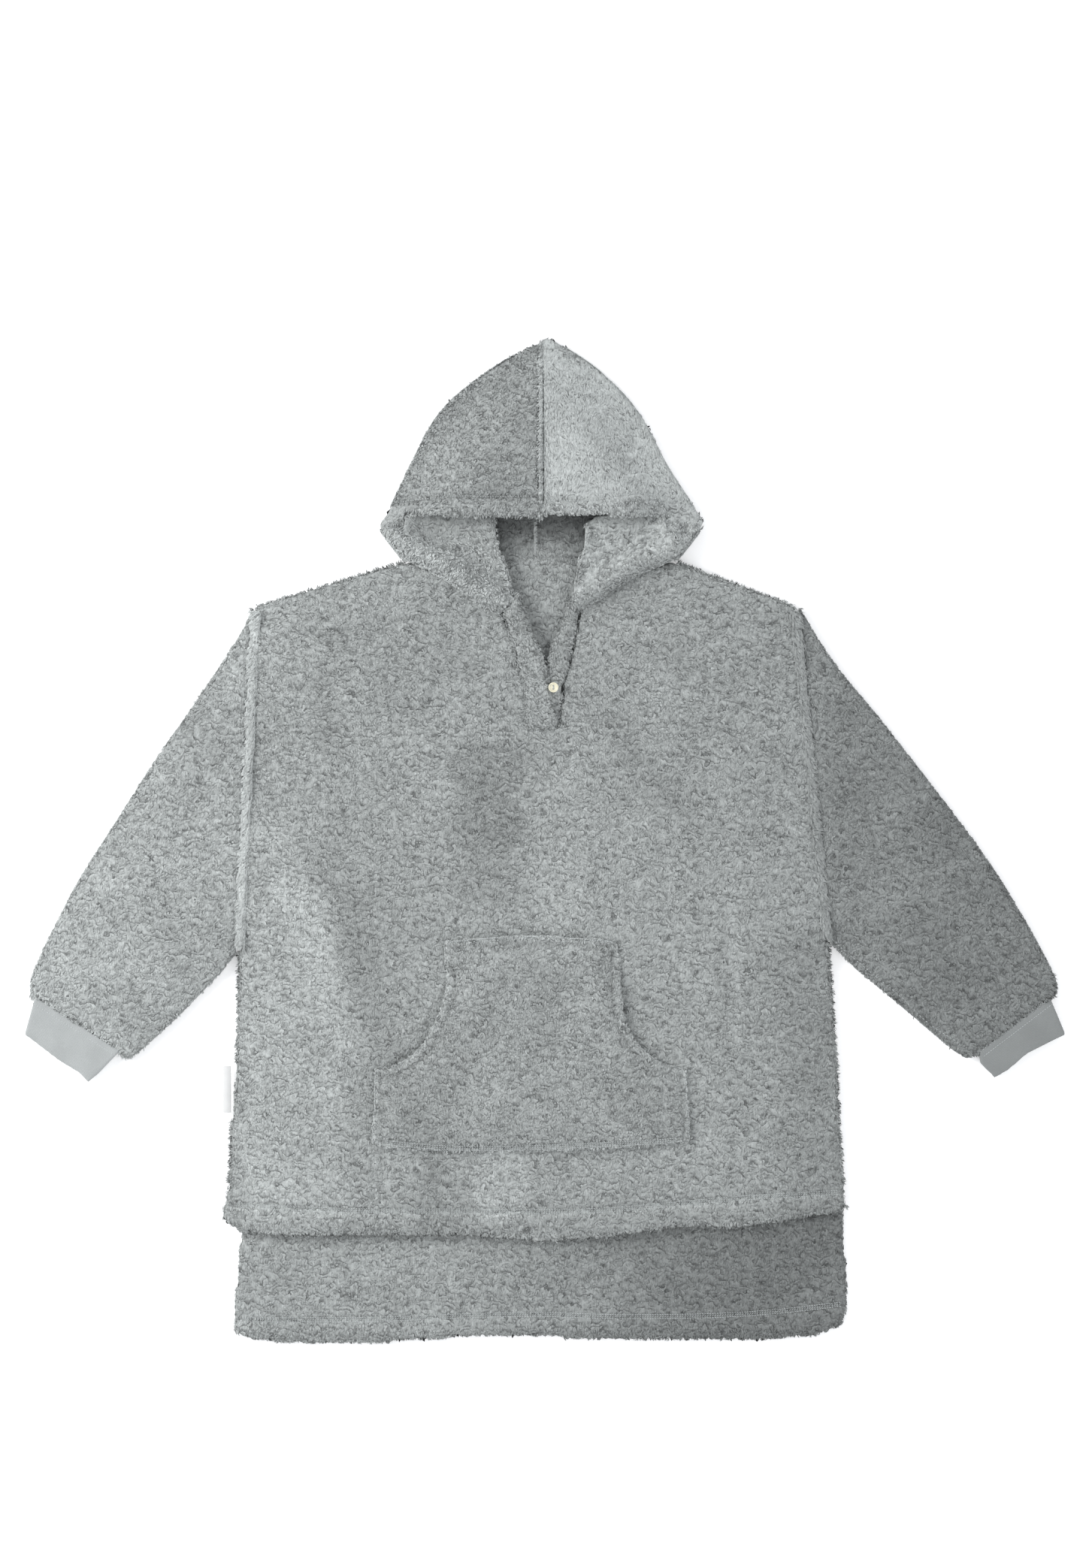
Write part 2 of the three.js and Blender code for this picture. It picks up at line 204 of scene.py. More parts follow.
def new_group(name, inputs, outputs):
    tree = bpy.data.node_groups.new(name, "ShaderNodeTree")
    for label, kind, value in inputs:
        socket = tree.interface.new_socket(label, in_out="INPUT", socket_type=kind)
        socket.default_value = value
    for label, kind in outputs:
        tree.interface.new_socket(label, in_out="OUTPUT", socket_type=kind)
    given = tree.nodes.new("NodeGroupInput").outputs
    result = tree.nodes.new("NodeGroupOutput").inputs
    return tree, Nodes(tree), given, result


def rgba(color):
    return (*color, 1.0)


def darker(color, share):
    return tuple(c * share for c in color)


# %% [markdown]
# Brushed patches are the slow change of tone over a hand's width, where a palm has stroked the nap one way
# or the other. Nap lying another way takes the light another way, so this tone is painted sheen and shade.
# It uses the garment's own coordinates, so that it runs on across the seams.

# %% Group: brushed patches
def make_patches_group():
    tree, n, given, result = new_group(
        "Brushed patches of nap sheen", [("Amount", "NodeSocketFloat", 0.1)], [("Tone", "NodeSocketFloat")])
    place = n.add("ShaderNodeTexCoord").outputs["Object"]
    wide = n.spread(n.noise(place, 7.0), 0.3, 0.7, -0.8, 0.8)
    near = n.spread(n.noise(place, 28.0, 2.0, 0.6), 0.3, 0.7, -0.8, 0.8)
    tree.links.new(n.math("MULTIPLY_ADD", n.math("ADD", wide, near), given["Amount"], 1.0), result["Tone"])
    return tree


patches_group = make_patches_group()
print("group", patches_group.name)


# %% [markdown]
# "Fleece" is one pattern for the cloth and the locks alike, so that both read as a single deep surface. Its
# curls lie like shingles, painted into the colour: a ramp climbs along the nap to a pale lip, a painted
# highlight, and drops at once to the dark start of the next curl, painted shade where the lip overhangs it.
# The ramps are the fraction of a height that grows along the nap and is bent by noise; a slow noise then
# hides a part of the drops, so that no crack goes on for long. A small and a large set of shingles and fine
# streaks lie together.

# %% Group: fleece
LARGE_CURL = 8.4 * MM
SMALL_CURL = 5.8 * MM
CURL_BEND = 4.2                  # how many curls' lengths the noise pushes a row of curls out of line
WANDER = 2.2 * MM


def shingles(n, place, spacing, bend, direction, hide):
    """The painted shade at the start and the painted highlight on the lip of curls that lie spacing metres
    apart.
    """
    ahead = n.add("ShaderNodeVectorMath", {0: place, 1: direction}, operation="DOT_PRODUCT").outputs["Value"]
    wave = n.noise(place, 0.6 / spacing, 2.0, 0.5)
    climb = n.math("FRACT", n.math("MULTIPLY_ADD", wave, bend, n.math("MULTIPLY", ahead, 1 / spacing)))
    shown = n.spread(n.noise(place, hide), 0.38, 0.58, 0.0, 1.0)
    start = n.math("MULTIPLY", n.math("POWER", n.math("SUBTRACT", 1.0, climb), 2.6), shown)
    lip = n.math("MULTIPLY", n.math("POWER", climb, 2.0), shown)
    return start, lip


def make_fleece_group():
    tree, n, given, result = new_group(
        "Fleece",
        [
            ("Fleece colour", "NodeSocketColor", rgba(FLEECE)),
            ("Crack shade depth", "NodeSocketFloat", 0.78),
            ("Streak depth", "NodeSocketFloat", 0.22),
            ("Patchiness", "NodeSocketFloat", 0.06),
        ],
        [("Color", "NodeSocketColor"), ("Height", "NodeSocketFloat")],
    )
    place = n.add("ShaderNodeTexCoord").outputs["Object"]
    wander = n.add("ShaderNodeTexNoise", {"Vector": place, "Scale": 220.0, "Detail": 2.0}).outputs["Color"]
    push = n.add("ShaderNodeVectorMath", {0: wander, 1: (WANDER,) * 3}, operation="MULTIPLY").outputs[0]
    warped = n.add("ShaderNodeVectorMath", {0: place, 1: push}, operation="ADD").outputs[0]
    shade_1, highlight_1 = shingles(n, warped, LARGE_CURL, CURL_BEND, (0.25, 0.97, 0.3), 105.0)
    shade_2, highlight_2 = shingles(n, warped, SMALL_CURL, CURL_BEND, (-0.5, 0.85, 0.3), 140.0)
    # crack is the painted shade at the start of the curls, lip the painted highlight on their edges
    crack = n.math("MAXIMUM", shade_1, n.math("MULTIPLY", shade_2, 0.8))
    lip = n.math("MAXIMUM", highlight_1, n.math("MULTIPLY", highlight_2, 0.6))
    combed = n.add("ShaderNodeVectorMath", {0: warped, 1: (1.5, 0.4, 1.0)}, operation="MULTIPLY").outputs[0]
    streaks = n.spread(n.noise(combed, 430.0, 3.0, 0.6), 0.3, 0.7, -1.0, 1.0)
    patches = n.add("ShaderNodeGroup", {"Amount": given["Patchiness"]}, node_tree=patches_group).outputs[0]
    tone = n.add("ShaderNodeAttribute", attribute_name="tone").outputs["Fac"]
    fibres = n.math("MULTIPLY_ADD", streaks, given["Streak depth"], 1.0)
    # relief adds the painted highlights and takes off the painted shade in the colour, and also drives the
    # bump
    relief = n.math("SUBTRACT", n.math("MULTIPLY", lip, 0.16), crack)
    mottle = n.spread(n.noise(warped, 95.0, 2.0), 0.3, 0.7, 0.95, 1.06)
    curls = n.math("MULTIPLY_ADD", relief, given["Crack shade depth"], 1.0)
    shade = n.math("MULTIPLY", n.math("MULTIPLY", patches, tone), n.math("MULTIPLY", fibres, curls))
    shade = n.math("MULTIPLY", shade, mottle)
    tree.links.new(n.tint(given["Fleece colour"], shade), result["Color"])
    tree.links.new(n.math("MULTIPLY_ADD", streaks, 0.3, relief), result["Height"])
    return tree


fleece_group = make_fleece_group()
print("group", fleece_group.name)


# %% Materials of fleece
def new_material(name, roughness, sheen=0.0, specular=0.3):
    material = bpy.data.materials.new(name)
    material.use_nodes = True
    shader = material.node_tree.nodes["Principled BSDF"]
    shader.inputs["Roughness"].default_value = roughness
    shader.inputs["Sheen Weight"].default_value = sheen
    shader.inputs["Sheen Roughness"].default_value = 0.6
    shader.inputs["Specular IOR Level"].default_value = specular
    return material, Nodes(material.node_tree), shader


def finish(n, shader, color, height, bump):
    relief = n.add("ShaderNodeBump", {"Height": height, "Strength": bump, "Distance": 0.001})
    n.tree.links.new(color, shader.inputs["Base Color"])
    n.tree.links.new(relief.outputs[0], shader.inputs["Normal"])


def fleece_material(name, group, values, bump):
    material, n, shader = new_material(name, 0.95, sheen=0.2, specular=0.12)
    effect = n.add("ShaderNodeGroup", values, node_tree=group)
    finish(n, shader, effect.outputs["Color"], effect.outputs["Height"], bump)
    return material


pile = fleece_material("fleece pile", fleece_group, {}, 0.5)
pile_inside = fleece_material(
    "fleece pile inside", fleece_group,
    {"Fleece colour": rgba(darker(FLEECE, 0.94)), "Patchiness": 0.04}, 0.5)
pile_smooth = fleece_material(
    "fleece pile stroked smooth", fleece_group, {"Crack shade depth": 0.18, "Streak depth": 0.2}, 0.4)
# the cloth under the locks is painted darker than they are: painted shade deep in the pile
ground = fleece_material("fleece ground", fleece_group, {"Fleece colour": rgba(darker(FLEECE, 0.92))}, 0.8)
print("fleece materials ready")


# %% [markdown]
# The other finishes are smaller. Jersey shows its columns of knit stitches, thread its twist, woven satin
# its fine weave, and the resin button a faint cloudiness under a gloss.

# %% Materials: jersey, thread, button and label
def knit_material(name, color, column, row, turn):
    """Columns of stitches run along the arm: turn is the arm's angle in plan."""
    material, n, shader = new_material(name, 0.85, sheen=0.15, specular=0.2)
    place = n.add("ShaderNodeTexCoord").outputs["Object"]
    turned = n.add("ShaderNodeMapping", {"Vector": place, "Rotation": (0.0, 0.0, -turn)}).outputs[0]
    parts = n.add("ShaderNodeSeparateXYZ", {0: turned}).outputs
    across = n.math("SINE", n.math("MULTIPLY", parts[1], 2 * math.pi / column))
    rows = n.math("SINE", n.math("MULTIPLY", parts[0], 2 * math.pi / row))
    height = n.math("MULTIPLY_ADD", rows, 0.25, across)
    fuzz = n.noise(place, 700.0, 3.0, 0.6)
    wear = n.noise(place, 30.0, 2.0)
    shade = n.math("MULTIPLY", n.spread(height, -1.2, 1.2, 0.86, 1.05), n.spread(fuzz, 0.3, 0.7, 0.93, 1.06))
    shade = n.math("MULTIPLY", shade, n.spread(wear, 0.3, 0.7, 0.95, 1.05))
    finish(n, shader, n.tint(rgba(color), shade), n.math("MULTIPLY_ADD", fuzz, 0.6, height), 0.25)
    return material


def thread_material():
    material, n, shader = new_material("sewing thread", 0.7, sheen=0.1, specular=0.3)
    place = n.add("ShaderNodeTexCoord").outputs["Object"]
    twist = n.add("ShaderNodeTexWave", {"Vector": place, "Scale": 420.0, "Distortion": 1.0}).outputs["Fac"]
    wear = n.spread(n.noise(place, 60.0), 0.3, 0.7, 0.92, 1.06)
    shade = n.math("MULTIPLY", n.spread(twist, 0.0, 1.0, 0.85, 1.05), wear)
    finish(n, shader, n.tint(rgba(THREAD), shade), twist, 0.3)
    return material


def button_material():
    material, n, shader = new_material("button resin", 0.3, specular=0.5)
    shader.inputs["Coat Weight"].default_value = 0.4
    shader.inputs["Coat Roughness"].default_value = 0.15
    place = n.add("ShaderNodeTexCoord").outputs["Object"]
    cloud = n.noise(place, 260.0, 3.0)
    color = n.mix(n.spread(cloud, 0.3, 0.7, 0.0, 1.0), rgba(RESIN_DARK), rgba(RESIN_PALE))
    finish(n, shader, color, n.noise(place, 1200.0, 3.0), 0.05)
    return material


def label_material():
    material, n, shader = new_material("label satin", 0.45, sheen=0.3, specular=0.4)
    place = n.add("ShaderNodeTexCoord").outputs["Object"]
    parts = n.add("ShaderNodeSeparateXYZ", {0: place}).outputs
    warp = n.math("SINE", n.math("MULTIPLY", parts[0], 2 * math.pi / (0.45 * MM)))
    weft = n.math("SINE", n.math("MULTIPLY", parts[1], 2 * math.pi / (0.6 * MM)))
    weave = n.math("MULTIPLY_ADD", warp, 0.6, weft)
    cloud = n.spread(n.noise(place, 90.0), 0.3, 0.7, 0.96, 1.0)
    shade = n.math("MULTIPLY", n.spread(weave, -1.6, 1.6, 0.93, 1.0), cloud)
    finish(n, shader, n.tint(rgba(SATIN), shade), weave, 0.15)
    return material


def arm_angle(side):
    low, high = (Vector(c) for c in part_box(f"{side}_cuff"))
    root = Vector(joints[f"{side}_sleeve_fold"]["pos_m"])
    middle = (low + high) / 2
    return math.atan2(middle.y - root.y, middle.x - root.x)


thread = thread_material()
resin = button_material()
satin = label_material()
# share of the yarn's colour: the right cuff lies in shade, and that shade is painted into its colour
JERSEY_SHADE = {"left": 0.92, "right": 0.56}     # the right cuff reads much darker, and is painted so
STITCH_COLUMN, STITCH_ROW = 1.5 * MM, 1.1 * MM
jerseys = {
    side: knit_material(
        f"jersey {side}", darker(JERSEY, JERSEY_SHADE[side]), STITCH_COLUMN, STITCH_ROW, arm_angle(side))
    for side in ("left", "right")
}
print("other materials ready")

# %% [markdown]
# ## Cloth from the frame
# Each panel in the frame is a plain plate with the true outline. A voxel remesh turns a copy of it into an
# even skin of small squares, and a few rounds of smoothing roll its edges over, as a thick fleece does.
# After that the points are pushed up or down by simple rules: lower towards a seam, higher where the cloth
# is free.

# %% Helpers: copies, remesh, smoothing
def cad_copy(*names, change=None):
    bm = bmesh.new()
    for name in names:
        part = bmesh.new()
        part.from_mesh(frame["nodes"][name].data)
        bmesh.ops.remove_doubles(part, verts=part.verts, dist=1e-6)
        if change and name in change:
            change[name](part)
        mesh = bpy.data.meshes.new("part")
        part.to_mesh(mesh)
        part.free()
        bm.from_mesh(mesh)
        bpy.data.meshes.remove(mesh)
    return bm


def new_object(name, mesh, *materials):
    piece = bpy.data.objects.new(name, mesh)
    bpy.context.scene.collection.objects.link(piece)
    for material in materials:
        mesh.materials.append(material)
    return piece


def bm_object(name, bm, *materials):
    mesh = bpy.data.meshes.new(name)
    bm.to_mesh(mesh)
    bm.free()
    mesh.shade_smooth()
    return new_object(name, mesh, *materials)


def voxel_skin(name, bm, voxel, *materials):
    holder = bm_object("holder", bm)
    rough = holder.data
    remesh = holder.modifiers.new("even skin", "REMESH")
    remesh.mode = "VOXEL"
    remesh.voxel_size = voxel
    evaluated = holder.evaluated_get(bpy.context.evaluated_depsgraph_get())
    mesh = bpy.data.meshes.new_from_object(evaluated)
    bpy.data.objects.remove(holder)
    bpy.data.meshes.remove(rough)
    mesh.name = name
    mesh.shade_smooth()
    add_values(mesh, "tone", np.ones(len(mesh.vertices)))
    return new_object(name, mesh, *materials)


def add_values(mesh, name, values):
    attribute = mesh.attributes.get(name) or mesh.attributes.new(name, "FLOAT", "POINT")
    attribute.data.foreach_set("value", values.astype(np.float32))


def shade_skin(piece, tone):
    """The cloth under the locks takes their tone."""
    add_values(piece.data, "tone", tone(get_points(piece)))


def get_points(piece):
    points = np.zeros(len(piece.data.vertices) * 3)
    piece.data.vertices.foreach_get("co", points)
    return points.reshape(-1, 3)


def set_points(piece, points):
    piece.data.vertices.foreach_set("co", points.ravel())
    piece.data.update()


def soften(piece, rounds):
    bm = bmesh.new()
    bm.from_mesh(piece.data)
    every_way = {"use_axis_x": True, "use_axis_y": True, "use_axis_z": True}
    for _ in range(rounds):
        bmesh.ops.smooth_vert(bm, verts=bm.verts, factor=0.5, **every_way)
    bm.to_mesh(piece.data)
    bm.free()


def moved(dx=0.0, dy=0.0, dz=0.0):
    """A change for cad_copy: the whole plate is shifted, to overlap the plate that it is sewn to."""
    def change(bm):
        bmesh.ops.translate(bm, vec=(dx * MM, dy * MM, dz * MM), verts=bm.verts)
    return change


def close_slot(y_line, by):
    """A change for cad_copy: closes the slot that the frame leaves along a fold line."""
    def change(bm):
        for v in bm.verts:
            if abs(v.co.y - y_line) < 2 * MM:
                v.co.y += by
    return change


# %% [markdown]
# Distances to a seam or an outline steer most of the shaping. The outline of a plate is the border of its
# upper face, so it is read from the frame and never typed in again.

# %% Helpers: outlines, distances and slow waves
def outline_segments(*nodes):
    found = []
    for node in nodes:
        bm = cad_copy(node)
        top = max(v.co.z for v in bm.verts)
        lids = {f for f in bm.faces if f.normal.z > 0.9 and f.calc_center_median().z > top - 1e-4}
        edges = [e for e in bm.edges if len([f for f in e.link_faces if f in lids]) == 1]
        found += [[e.verts[0].co[:2], e.verts[1].co[:2]] for e in edges]
        bm.free()
    return np.array(found)


def those(segments, rule):
    middle = segments.mean(1)
    return segments[rule(middle[:, 0], middle[:, 1])]


def distance(points, segments):
    """How far each point is, in plan, from the nearest of the segments."""
    best = np.full(len(points), 1e9)
    for a, b in segments:
        d = b - a
        t = np.clip(((points[:, :2] - a) @ d) / max(d @ d, 1e-12), 0, 1)
        best = np.minimum(best, np.linalg.norm(points[:, :2] - (a + t[:, None] * d), axis=1))
    return best


def ease(values, low, high):
    t = np.clip((values - low) / (high - low), 0, 1)
    return t * t * (3 - 2 * t)


def bump(values, middle, half):
    """1 at the middle, and smoothly down to 0 at half a width from it."""
    return 1 - ease(np.abs(values - middle), 0, half)


def midline(node, along):
    """The centre line of a narrow band: its outline points taken in pairs."""
    corners = np.unique(outline_segments(node).reshape(-1, 2).round(6), axis=0)
    order = corners[np.argsort(corners[:, along])]
    return order[: len(order) // 2 * 2].reshape(-1, 2, 2).mean(1)


def chain(line):
    return np.stack([line[:-1], line[1:]], axis=1)


def waves(points, size, seed):
    """A slow, smooth up and down between -1 and 1: the sum of a few slanted waves."""
    draw = np.random.default_rng(seed)
    total = np.zeros(len(points))
    for _ in range(7):
        heading = draw.uniform(0, 2 * math.pi)
        length = size * draw.uniform(0.7, 1.6)
        phase = draw.uniform(0, 2 * math.pi)
        across = points[:, 0] * math.cos(heading) + points[:, 1] * math.sin(heading)
        total += np.sin(across * 2 * math.pi / length + phase)
    return total / 4


# %% [markdown]
# ## Where hands have brushed the pile
# Fleece keeps the trace of every touch: stroked one way it looks pale and smooth, the other way dark and
# open. That pale and dark is how the nap takes the light, painted here into the colour as sheen and shade.
# Each stroke below is a soft capsule on the garment, from one place to another, with its half width, the
# width of its soft edge and how much lighter or darker it makes the pile.

# %% Strokes
STROKE_DEPTH = 1.45
STROKES = (                      # from, to, half width, soft edge, tone
    ((-72, 86), (-44, 86), 33, 9, -0.12),
    ((-66, 18), (-45, 18), 35, 10, -0.13),
    ((-60, -46), (-46, -46), 31, 20, -0.08),
    ((38, 72), (40, -70), 30, 30, 0.05),
    ((-300, -110), (-285, -430), 62, 34, 0.10),
    ((-318, 10), (-222, -230), 24, 30, 0.08),
    ((-228, -80), (-178, -262), 22, 32, -0.10),
    ((-42, -402), (-42, -425), 34, 10, 0.12),
    ((-122, -395), (-128, -450), 16, 16, -0.09),
    ((-120, 210), (-60, 205), 14, 12, -0.05),
    ((-200, 250), (-230, 240), 16, 14, -0.06),
    ((-150, 150), (-190, 160), 14, 16, -0.05),
    ((-255, 190), (-245, 110), 14, 18, -0.07),
    ((-260, -20), (-215, -60), 22, 18, -0.05),
    ((140, 170), (170, 160), 30, 16, 0.05),
    ((60, 170), (150, 60), 14, 22, -0.06),
    ((110, 110), (200, 20), 16, 22, -0.04),
    ((185, -60), (235, -190), 14, 20, -0.05),
    ((330, -150), (345, -420), 50, 60, -0.10),
    ((20, -170), (10, -240), 18, 18, -0.07),
    ((-60, -150), (-75, -175), 20, 18, 0.05),
    ((110, -300), (150, -330), 34, 22, -0.06),
    ((-60, -280), (-70, -330), 26, 18, 0.04),
    ((-150, -300), (-140, -345), 14, 18, -0.08),
    ((238, -80), (240, -240), 7, 12, 0.07),
    ((225, -80), (227, -240), 7, 12, -0.05),
)
print(len(STROKES), "strokes")


def capsule(points, start, end, half, soft):
    a, b = np.array(start) * MM, np.array(end) * MM
    return 1 - ease(distance(points, [(a, b)]), (half - soft / 2) * MM, (half + soft / 2) * MM)


def brushed(points):
    """The tone of the front's pile at each place, around 1: the painted sheen and shade of the brushed nap.
    """
    tone = np.ones(len(points))
    for start, end, half, soft, amount in STROKES:
        tone += STROKE_DEPTH * amount * capsule(points, start, end, half, soft)
    return tone


# %% [markdown]
# ## The pile
# One lock is a spindle with three sides: a cone whose base is poked and pulled down to a second point. The
# locks are sown over a skin, a few on each of its small squares. Fleece curls up in tufts, so neighbouring
# locks share a heading and a raised lip, and the next tuft starts in the shade behind it. Copying one lock
# a hundred thousand times is left to array sums, which take a moment where single operators would take
# minutes.

# %% The lock
LOCK_WIDEST = 0.45


def make_lock():
    bm = bmesh.new()
    spot = Matrix.Translation((0, 0, (1 + LOCK_WIDEST) / 2))
    bmesh.ops.create_cone(
        bm, cap_ends=True, segments=3, radius1=1, radius2=0, depth=1 - LOCK_WIDEST, matrix=spot)
    bmesh.ops.remove_doubles(bm, verts=bm.verts, dist=1e-5)
    bm.normal_update()
    base = [f for f in bm.faces if f.normal.z < -0.9]
    root = bmesh.ops.poke(bm, faces=base)["verts"][0]
    root.co.z = 0
    bmesh.ops.recalc_face_normals(bm, faces=bm.faces)
    bm.verts.index_update()
    corners = np.array([v.co for v in bm.verts])
    faces = np.array([[v.index for v in f.verts] for f in bm.faces])
    bm.free()
    return corners[:, 2], corners[:, 0], corners[:, 1], faces


lock_along, lock_across, lock_up, lock_faces = make_lock()
print("lock:", len(lock_along), "corners,", len(lock_faces), "faces")


# %% Helpers: places, tufts and attributes
def face_places(piece):
    mesh = piece.data
    centres = np.zeros(len(mesh.polygons) * 3)
    normals = np.zeros(len(mesh.polygons) * 3)
    mesh.polygons.foreach_get("center", centres)
    mesh.polygons.foreach_get("normal", normals)
    return centres.reshape(-1, 3), normals.reshape(-1, 3)


def unit(vectors):
    return vectors / np.maximum(np.linalg.norm(vectors, axis=1, keepdims=True), 1e-9)


def tufts_of(roots, share, draw):
    """For every root, the middle and the number of its tuft: the nearest of a few chosen roots."""
    count = max(1, int(len(roots) * share))
    chosen = roots[draw.permutation(len(roots))[:count]]
    tree = KDTree(count)
    for index, place in enumerate(chosen):
        tree.insert(place, index)
    tree.balance()
    number = np.array([tree.find(place)[1] for place in roots])
    return chosen[number], number


def mesh_from_triangles(name, corners, faces):
    mesh = bpy.data.meshes.new(name)
    mesh.vertices.add(len(corners))
    mesh.vertices.foreach_set("co", corners.astype(np.float32).ravel())
    mesh.loops.add(faces.size)
    mesh.loops.foreach_set("vertex_index", faces.astype(np.int32).ravel())
    mesh.polygons.add(len(faces))
    mesh.polygons.foreach_set("loop_start", np.arange(0, faces.size, 3, dtype=np.int32))
    mesh.update(calc_edges=True)
    mesh.shade_smooth()
    return mesh


# %% [markdown]
# A style says how a stretch of pile lies. In curly pile the locks of a tuft end together in a raised lip,
# and the next tuft starts in the shade behind it: that is the short dark crack that fleece shows
# everywhere. Smooth pile has been stroked flat, and fringe is the longer, freer pile that hangs over an
# edge.

# %% Styles of pile
CURLY = {
    "length": 8.0, "short": 3.0, "width": 0.8, "rise": 2.2, "tuft": 7.0,
    "wander": 0.38, "gather": 0.35, "stray": 0.12, "per": 3,
}
SMOOTH = {
    **CURLY, "length": 10.0, "short": 6.0, "width": 0.7, "rise": 1.2, "tuft": 11.0,
    "wander": 0.12, "stray": 0.07,
}
FRINGE = {**CURLY, "length": 7.0, "short": 4.0, "rise": 2.0, "wander": 0.25, "stray": 0.14, "per": 4}
UNDERSIDE = {**CURLY, "length": 11.0, "short": 6.0, "width": 2.0, "tuft": 10.0, "per": 1, "share": 0.45}
CLOTH_VOXEL = 4.4 * MM
FLOOR_GAP = 0.3 * MM
SCATTER = 0.55                      # how far from its face's middle a lock starts, in voxels
SUNK = 0.5 * MM                     # how deep its root is sunk
TUFT_SHADE = 0.12                   # how much darker the start of a tuft is
LOCK_CONTRAST = 0.08                # how much one lock differs from the next
print("styles ready")


def everywhere(points):
    return np.ones(len(points))


# %% [markdown]
# Pile is grown in steps, each of them sums over all locks at once: sow the roots, lay them in tufts, bend
# each lock over its tuft, and soften the shading. A lock that would reach into the floor is pressed flat on
# it.

# %% Growing pile
def sow_roots(piece, keep, style, draw):
    """The places where locks start, scattered over the wanted faces of a skin, and the normals there."""
    roots, normals = face_places(piece)
    wanted = keep(roots, normals)
    if "share" in style:
        wanted &= draw.random(len(roots)) < style["share"]
    roots = np.repeat(roots[wanted], style["per"], axis=0)
    normals = np.repeat(normals[wanted], style["per"], axis=0)
    return roots + np.cross(normals, draw.uniform(-1, 1, roots.shape)) * CLOTH_VOXEL * SCATTER, normals


def lay_tufts(roots, normals, nap, style, lie, draw):
    """Gathers the locks in tufts: each one's heading, and its place in its tuft, from -1.2 to 1 in front."""
    count = len(roots)
    area = count * CLOTH_VOXEL ** 2 / style["per"]
    reach = style["tuft"] * MM / 2
    middles, number = tufts_of(roots, min(1.0, area / (2 * reach) ** 2 / count), draw)
    turned = draw.normal(0, 1, (number.max() + 1, 3))[number]
    flow = unit(nap(middles)) + turned * style["wander"] * (1 - 0.5 * lie)
    flow = unit(flow - normals * np.sum(flow * normals, axis=1, keepdims=True))
    offset = (roots - middles) / reach
    place_in_tuft = np.clip(np.sum(offset * flow, axis=1), -1.2, 1.0)
    inward = -(offset - flow * place_in_tuft[:, None])
    strayed = draw.normal(0, 1, (count, 3))
    heading = flow + inward * style["gather"] + strayed * style["stray"] * (1 - 0.5 * lie)
    heading = unit(heading - normals * np.sum(heading * normals, axis=1, keepdims=True))
    return heading, place_in_tuft


def lock_corners(roots, normals, heading, place_in_tuft, style, lie, draw):
    """The corners of all locks: each rises over the dome of its tuft, sways and stays above the floor."""
    count = len(roots)
    reach = style["tuft"] * MM / 2
    side = np.cross(normals, heading)
    long = np.clip((1.2 - place_in_tuft) * reach, style["short"] * MM, style["length"] * MM)
    long *= draw.uniform(0.85, 1.2, count)
    high = style["rise"] * MM * draw.uniform(0.85, 1.2, count) * (1 - 0.4 * lie)
    fat = style["width"] * MM * draw.uniform(0.8, 1.25, count)
    curve = draw.normal(0, 0.1, count) * long
    run = lock_along[None, :] * long[:, None]
    across_tuft = place_in_tuft[:, None] + run / reach
    dome = np.sqrt(np.clip(1 - ((across_tuft - 0.2) / 1.4) ** 2, 0.12, 1))
    dome *= np.minimum(1, lock_along / 0.3)[None, :]
    lift = dome * high[:, None] - SUNK + lock_up[None, :] * fat[:, None] * 0.45
    sway = lock_across[None, :] * fat[:, None] + np.sin(lock_along * 3.0)[None, :] * curve[:, None]
    corners = (
        roots[:, None, :]
        + heading[:, None, :] * run[..., None]
        + normals[:, None, :] * lift[..., None]
        + side[:, None, :] * sway[..., None]
    )
    corners[..., 2] = np.maximum(corners[..., 2], FLOOR_GAP)
    return corners


def soft_normals(normals, heading):
    """Shading normals rounder than the three sides of a lock, which lean upwards except underneath."""
    side = np.cross(normals, heading)
    round_side = side[:, None, :] * lock_across[None, :, None] + normals[:, None, :] * lock_up[None, :, None]
    upward = ease(normals[:, 2:], -0.9, -0.6) * np.array([0, 0, 1.0])
    return unit(((normals + upward)[:, None, :] + round_side * 0.45).reshape(-1, 3))


def grow_pile(name, piece, keep, nap, style, material=pile, tone=everywhere, calm=None, seed=1):
    """Sows locks on the faces of a skin. keep picks faces, nap gives each place its direction, tone its
    brightness, and calm, from 0 to 1, how smoothly the pile lies there."""
    draw = np.random.default_rng(seed)
    roots, normals = sow_roots(piece, keep, style, draw)
    count = len(roots)
    lie = np.zeros(count) if calm is None else np.clip(calm(roots), 0, 1)
    heading, place_in_tuft = lay_tufts(roots, normals, nap, style, lie[:, None], draw)
    corners = lock_corners(roots, normals, heading, place_in_tuft, style, lie, draw)
    faces = lock_faces[None, :, :] + (np.arange(count) * len(lock_along))[:, None, None]
    mesh = mesh_from_triangles(name, corners.reshape(-1, 3), faces.reshape(-1, 3))
    mesh.normals_split_custom_set_from_vertices(soft_normals(normals, heading))
    dark = TUFT_SHADE * (1 - ease(place_in_tuft, -0.95, -0.2)) * (1 - 0.6 * lie)
    shade = tone(roots) * (1 + LOCK_CONTRAST * (draw.random(count) - 0.5)) * (1.03 - dark)
    add_values(mesh, "tone", np.repeat(shade, len(lock_along)))
    print(f"{name}: {count} locks, {len(mesh.polygons)} triangles")
    return new_object(name, mesh, material)


def nap_towards(x, y, z=0.0, swirl=0.5, size=0.07, seed=3):
    """The nap lies one way, and swirls gently where it has been stroked."""
    def direction(points):
        turn = waves(points, size, seed) * swirl
        c, s = np.cos(turn), np.sin(turn)
        return np.stack([x * c - y * s, x * s + y * c, np.full(len(points), z)], axis=1)
    return direction


# %% [markdown]
# ## Stitches
# A stitch is a short bead of thread, pointed at both ends and half sunk in the pile: a stretched icosphere.
# A row of them follows a seam line of the frame, laid on whatever cloth is under it.

